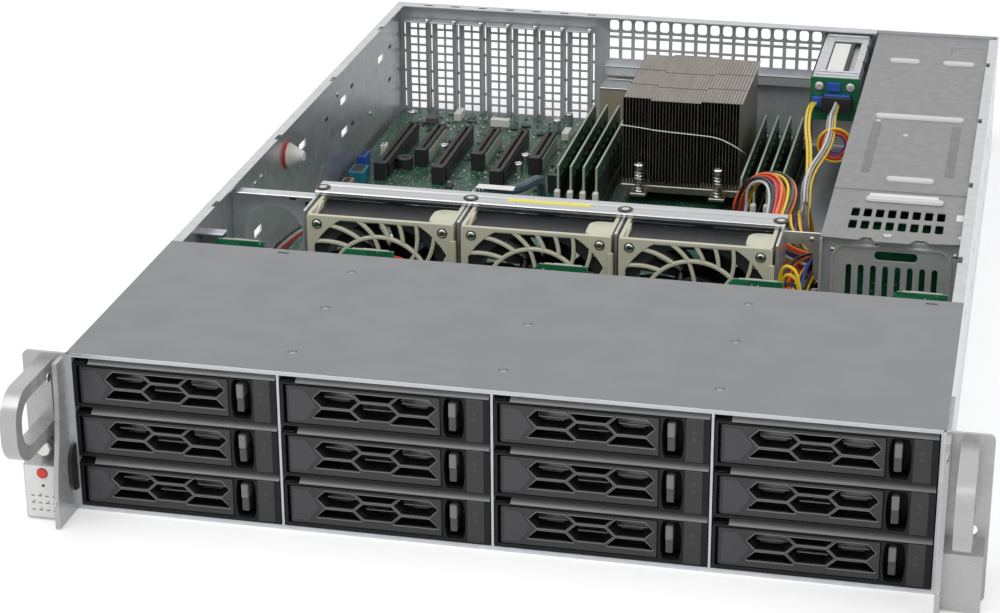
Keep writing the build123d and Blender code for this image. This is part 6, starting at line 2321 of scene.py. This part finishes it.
@dataclass
class WallDetails:
    """The small things on the tray's left wall: a lead guide, rivets, a bent tab and slots drawn as blocks of
    painted shade.
    """

    wall: float = -INSIDE
    guide: Point3 = (-INSIDE, 39.0, 67.0)
    guide_section: tuple[Point2, ...] = ((8.0, -0.4), (8.0, 2.5), (4.4, 9.0), (3.2, 12.0), (1.0, 12.0))
    guide_ring: tuple[Point2, ...] = ((8.4, 0.2), (8.6, 1.0), (8.4, 1.8))
    slots: tuple[Point2, ...] = ((515, 65), (453, 61), (514, 38), (616, 63), (613, 39))
    rivets: tuple[Point2, ...] = ((300, 70), (312, 70), (300, 20), (480, 70), (560, 30))

    def build(self) -> None:
        """Makes them."""
        piece = Workpiece("left_wall_details")
        piece.disc(self.guide, (1, 0, 0), self.guide_section, WHITE_PLUG, 24)
        piece.disc(self.guide, (1, 0, 0), self.guide_ring, RED_LEAD, 24)
        # The slots are blocks of painted shade on the wall.
        for y, z in self.slots:
            piece.block(
                (self.wall - 0.3, FRONT + y - 3.2, z - 1.3), (self.wall + 0.12, FRONT + y + 3.2, z + 1.3),
                SHADE_BLACK, bevel=0.1,
            )
        rivets = [stand(self.wall, FRONT + y, z, (0, 90, 0)) for y, z in self.rivets]
        piece.repeat(Fastener(2.0, 0.8).rivet(), rivets, STEEL)
        piece.block(
            (self.wall, FRONT + 192.0, 78.0), (self.wall + 16.0, FRONT + 200.0, 79.2), ZINC, bevel=0.3,
        )
        piece.block(
            (self.wall, FRONT + 198.8, 66.0), (self.wall + 16.0, FRONT + 200.0, 79.0), TRAY, bevel=0.3,
        )
        wiring = Wiring()
        for offset, colour in enumerate((RED_LEAD, WHITE_LEAD, BLACK_LEAD)):
            z = 50.0 + offset * 2.4
            bends = (
                (-172.0, 300.0, 20.0), (-178.0, 285.0, z), (-184.0, 262.0, z), (-192.0, 240.0, z - 6.0),
                (-196.0, 215.0, 16.0),
            )
            wiring.lead(colour, 1.8, [(x, FRONT + y, z) for x, y, z in bends])
        wiring.into(piece)
        piece.done(CHASSIS, "zinc_steel")


@dataclass
class Studio:
    """The pale floor, the soft lights and the camera at the photograph's angle."""

    camera_place: Point3 = (0.247, -1.385, 0.594)
    azimuth: float = 11.79
    elevation: float = 22.13
    lens: float = 89.2
    shift: Point2 = (-0.043, -0.0375)
    floor_colour: Point3 = (0.9, 0.9, 0.9)
    floor_lift: float = 0.27

    def seen(self, tree: Tree) -> Socket:
        """One for what the camera sees, straight or by reflection, and nought for the light that falls."""
        path = wire(tree, "ShaderNodeLightPath")
        seen = path.outputs["Is Camera Ray"]
        for name in ("Is Glossy Ray", "Is Transmission Ray"):
            seen = maths(tree, "MAXIMUM", seen, path.outputs[name])
        return seen

    def floor(self) -> None:
        """A wide floor that keeps the server's shadow."""
        mesh = bpy.data.meshes.new("studio_floor")
        reach = 12.0
        mesh.from_pydata(
            [(-reach, -reach, 0), (reach, -reach, 0), (reach, reach, 0), (-reach, reach, 0)], [],
            [(0, 1, 2, 3)],
        )
        floor = linked("studio_floor", mesh)
        material = bpy.data.materials.new("studio_floor")
        material.use_nodes = True
        shader = material.node_tree.nodes["Principled BSDF"]
        shader.inputs["Base Color"].default_value = (*self.floor_colour, 1.0)
        shader.inputs["Roughness"].default_value = 0.9
        shader.inputs["Specular IOR Level"].default_value = 0.1
        tree = material.node_tree
        glow = wire(tree, "ShaderNodeEmission", {"Color": (1, 1, 1, 1), "Strength": self.floor_lift})
        lifted = wire(tree, "ShaderNodeAddShader", {0: shader.outputs[0], 1: glow.outputs[0]})
        mix = wire(
            tree, "ShaderNodeMixShader", {0: self.seen(tree), 1: shader.outputs[0], 2: lifted.outputs[0]},
        )
        tree.links.new(mix.outputs[0], tree.nodes["Material Output"].inputs["Surface"])
        mesh.materials.append(material)

    def world(self) -> None:
        """An even white surround, dimmer as a light than as a background."""
        world = bpy.data.worlds.new("studio_world")
        bpy.context.scene.world = world
        world.use_nodes = True
        tree = world.node_tree
        tree.nodes.clear()
        seen = self.seen(tree)
        dim = wire(tree, "ShaderNodeBackground", {"Color": (1, 1, 1, 1), "Strength": 0.62})
        bright = wire(tree, "ShaderNodeBackground", {"Color": (1, 1, 1, 1), "Strength": 1.0})
        mix = wire(tree, "ShaderNodeMixShader", {0: seen, 1: dim.outputs[0], 2: bright.outputs[0]})
        wire(tree, "ShaderNodeOutputWorld", {"Surface": mix.outputs[0]})

    def lamp(self, name: str, place: Point3, target: Point3, size: float, power: float) -> None:
        """A square soft light that looks at a point."""
        light = bpy.data.lights.new(name, "AREA")
        light.size = size
        light.energy = power
        holder = linked(name, light)
        holder.location = place
        holder.rotation_mode = "QUATERNION"
        holder.rotation_quaternion = (Vector(target) - Vector(place)).to_track_quat("-Z", "Y")

    def camera(self) -> None:
        """The camera, placed as the photograph's was."""
        data = bpy.data.cameras.new("photo_camera")
        data.sensor_width = 36.0
        data.lens = self.lens
        data.shift_x, data.shift_y = self.shift
        data.clip_start, data.clip_end = 0.05, 60.0
        camera = linked("photo_camera", data)
        camera.location = self.camera_place
        azimuth, elevation = math.radians(self.azimuth), math.radians(self.elevation)
        forward = Vector(
            (
                -math.sin(azimuth) * math.cos(elevation), math.cos(azimuth) * math.cos(elevation),
                -math.sin(elevation),
            )
        )
        camera.rotation_mode = "QUATERNION"
        camera.rotation_quaternion = forward.to_track_quat("-Z", "Y")
        bpy.context.scene.camera = camera

    def build(self) -> None:
        """Sets up the whole studio."""
        bpy.context.scene.view_settings.view_transform = "Standard"
        self.floor()
        self.world()
        self.lamp("key_light", (-0.9, -1.3, 2.4), (0.0, -0.1, 0.0), 1.8, 26.0)
        self.lamp("fill_light", (1.8, -0.6, 1.6), (0.0, 0.0, 0.0), 1.6, 12.0)
        self.camera()


def main() -> None:
    """Builds the server's pieces in order, then the studio."""
    logging.basicConfig(level=logging.INFO, format="%(name)s: %(message)s")
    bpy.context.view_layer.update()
    Dressing().apply()
    log.info("finishes on %d CAD nodes", len(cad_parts))
    assemblies = (
        DriveBays(), CoolingFans(), Heatsink(), SupplyCage(), RearWall(), MainBoard(),
        Harness(), BayCover(), EarDetails(), BackplaneTabs(), SmallBay(), WallDetails(),
    )
    for assembly in assemblies:
        assembly.build()
        log.info("built %s", type(assembly).__name__)
    Studio().build()


if __name__ == "__main__":
    main()
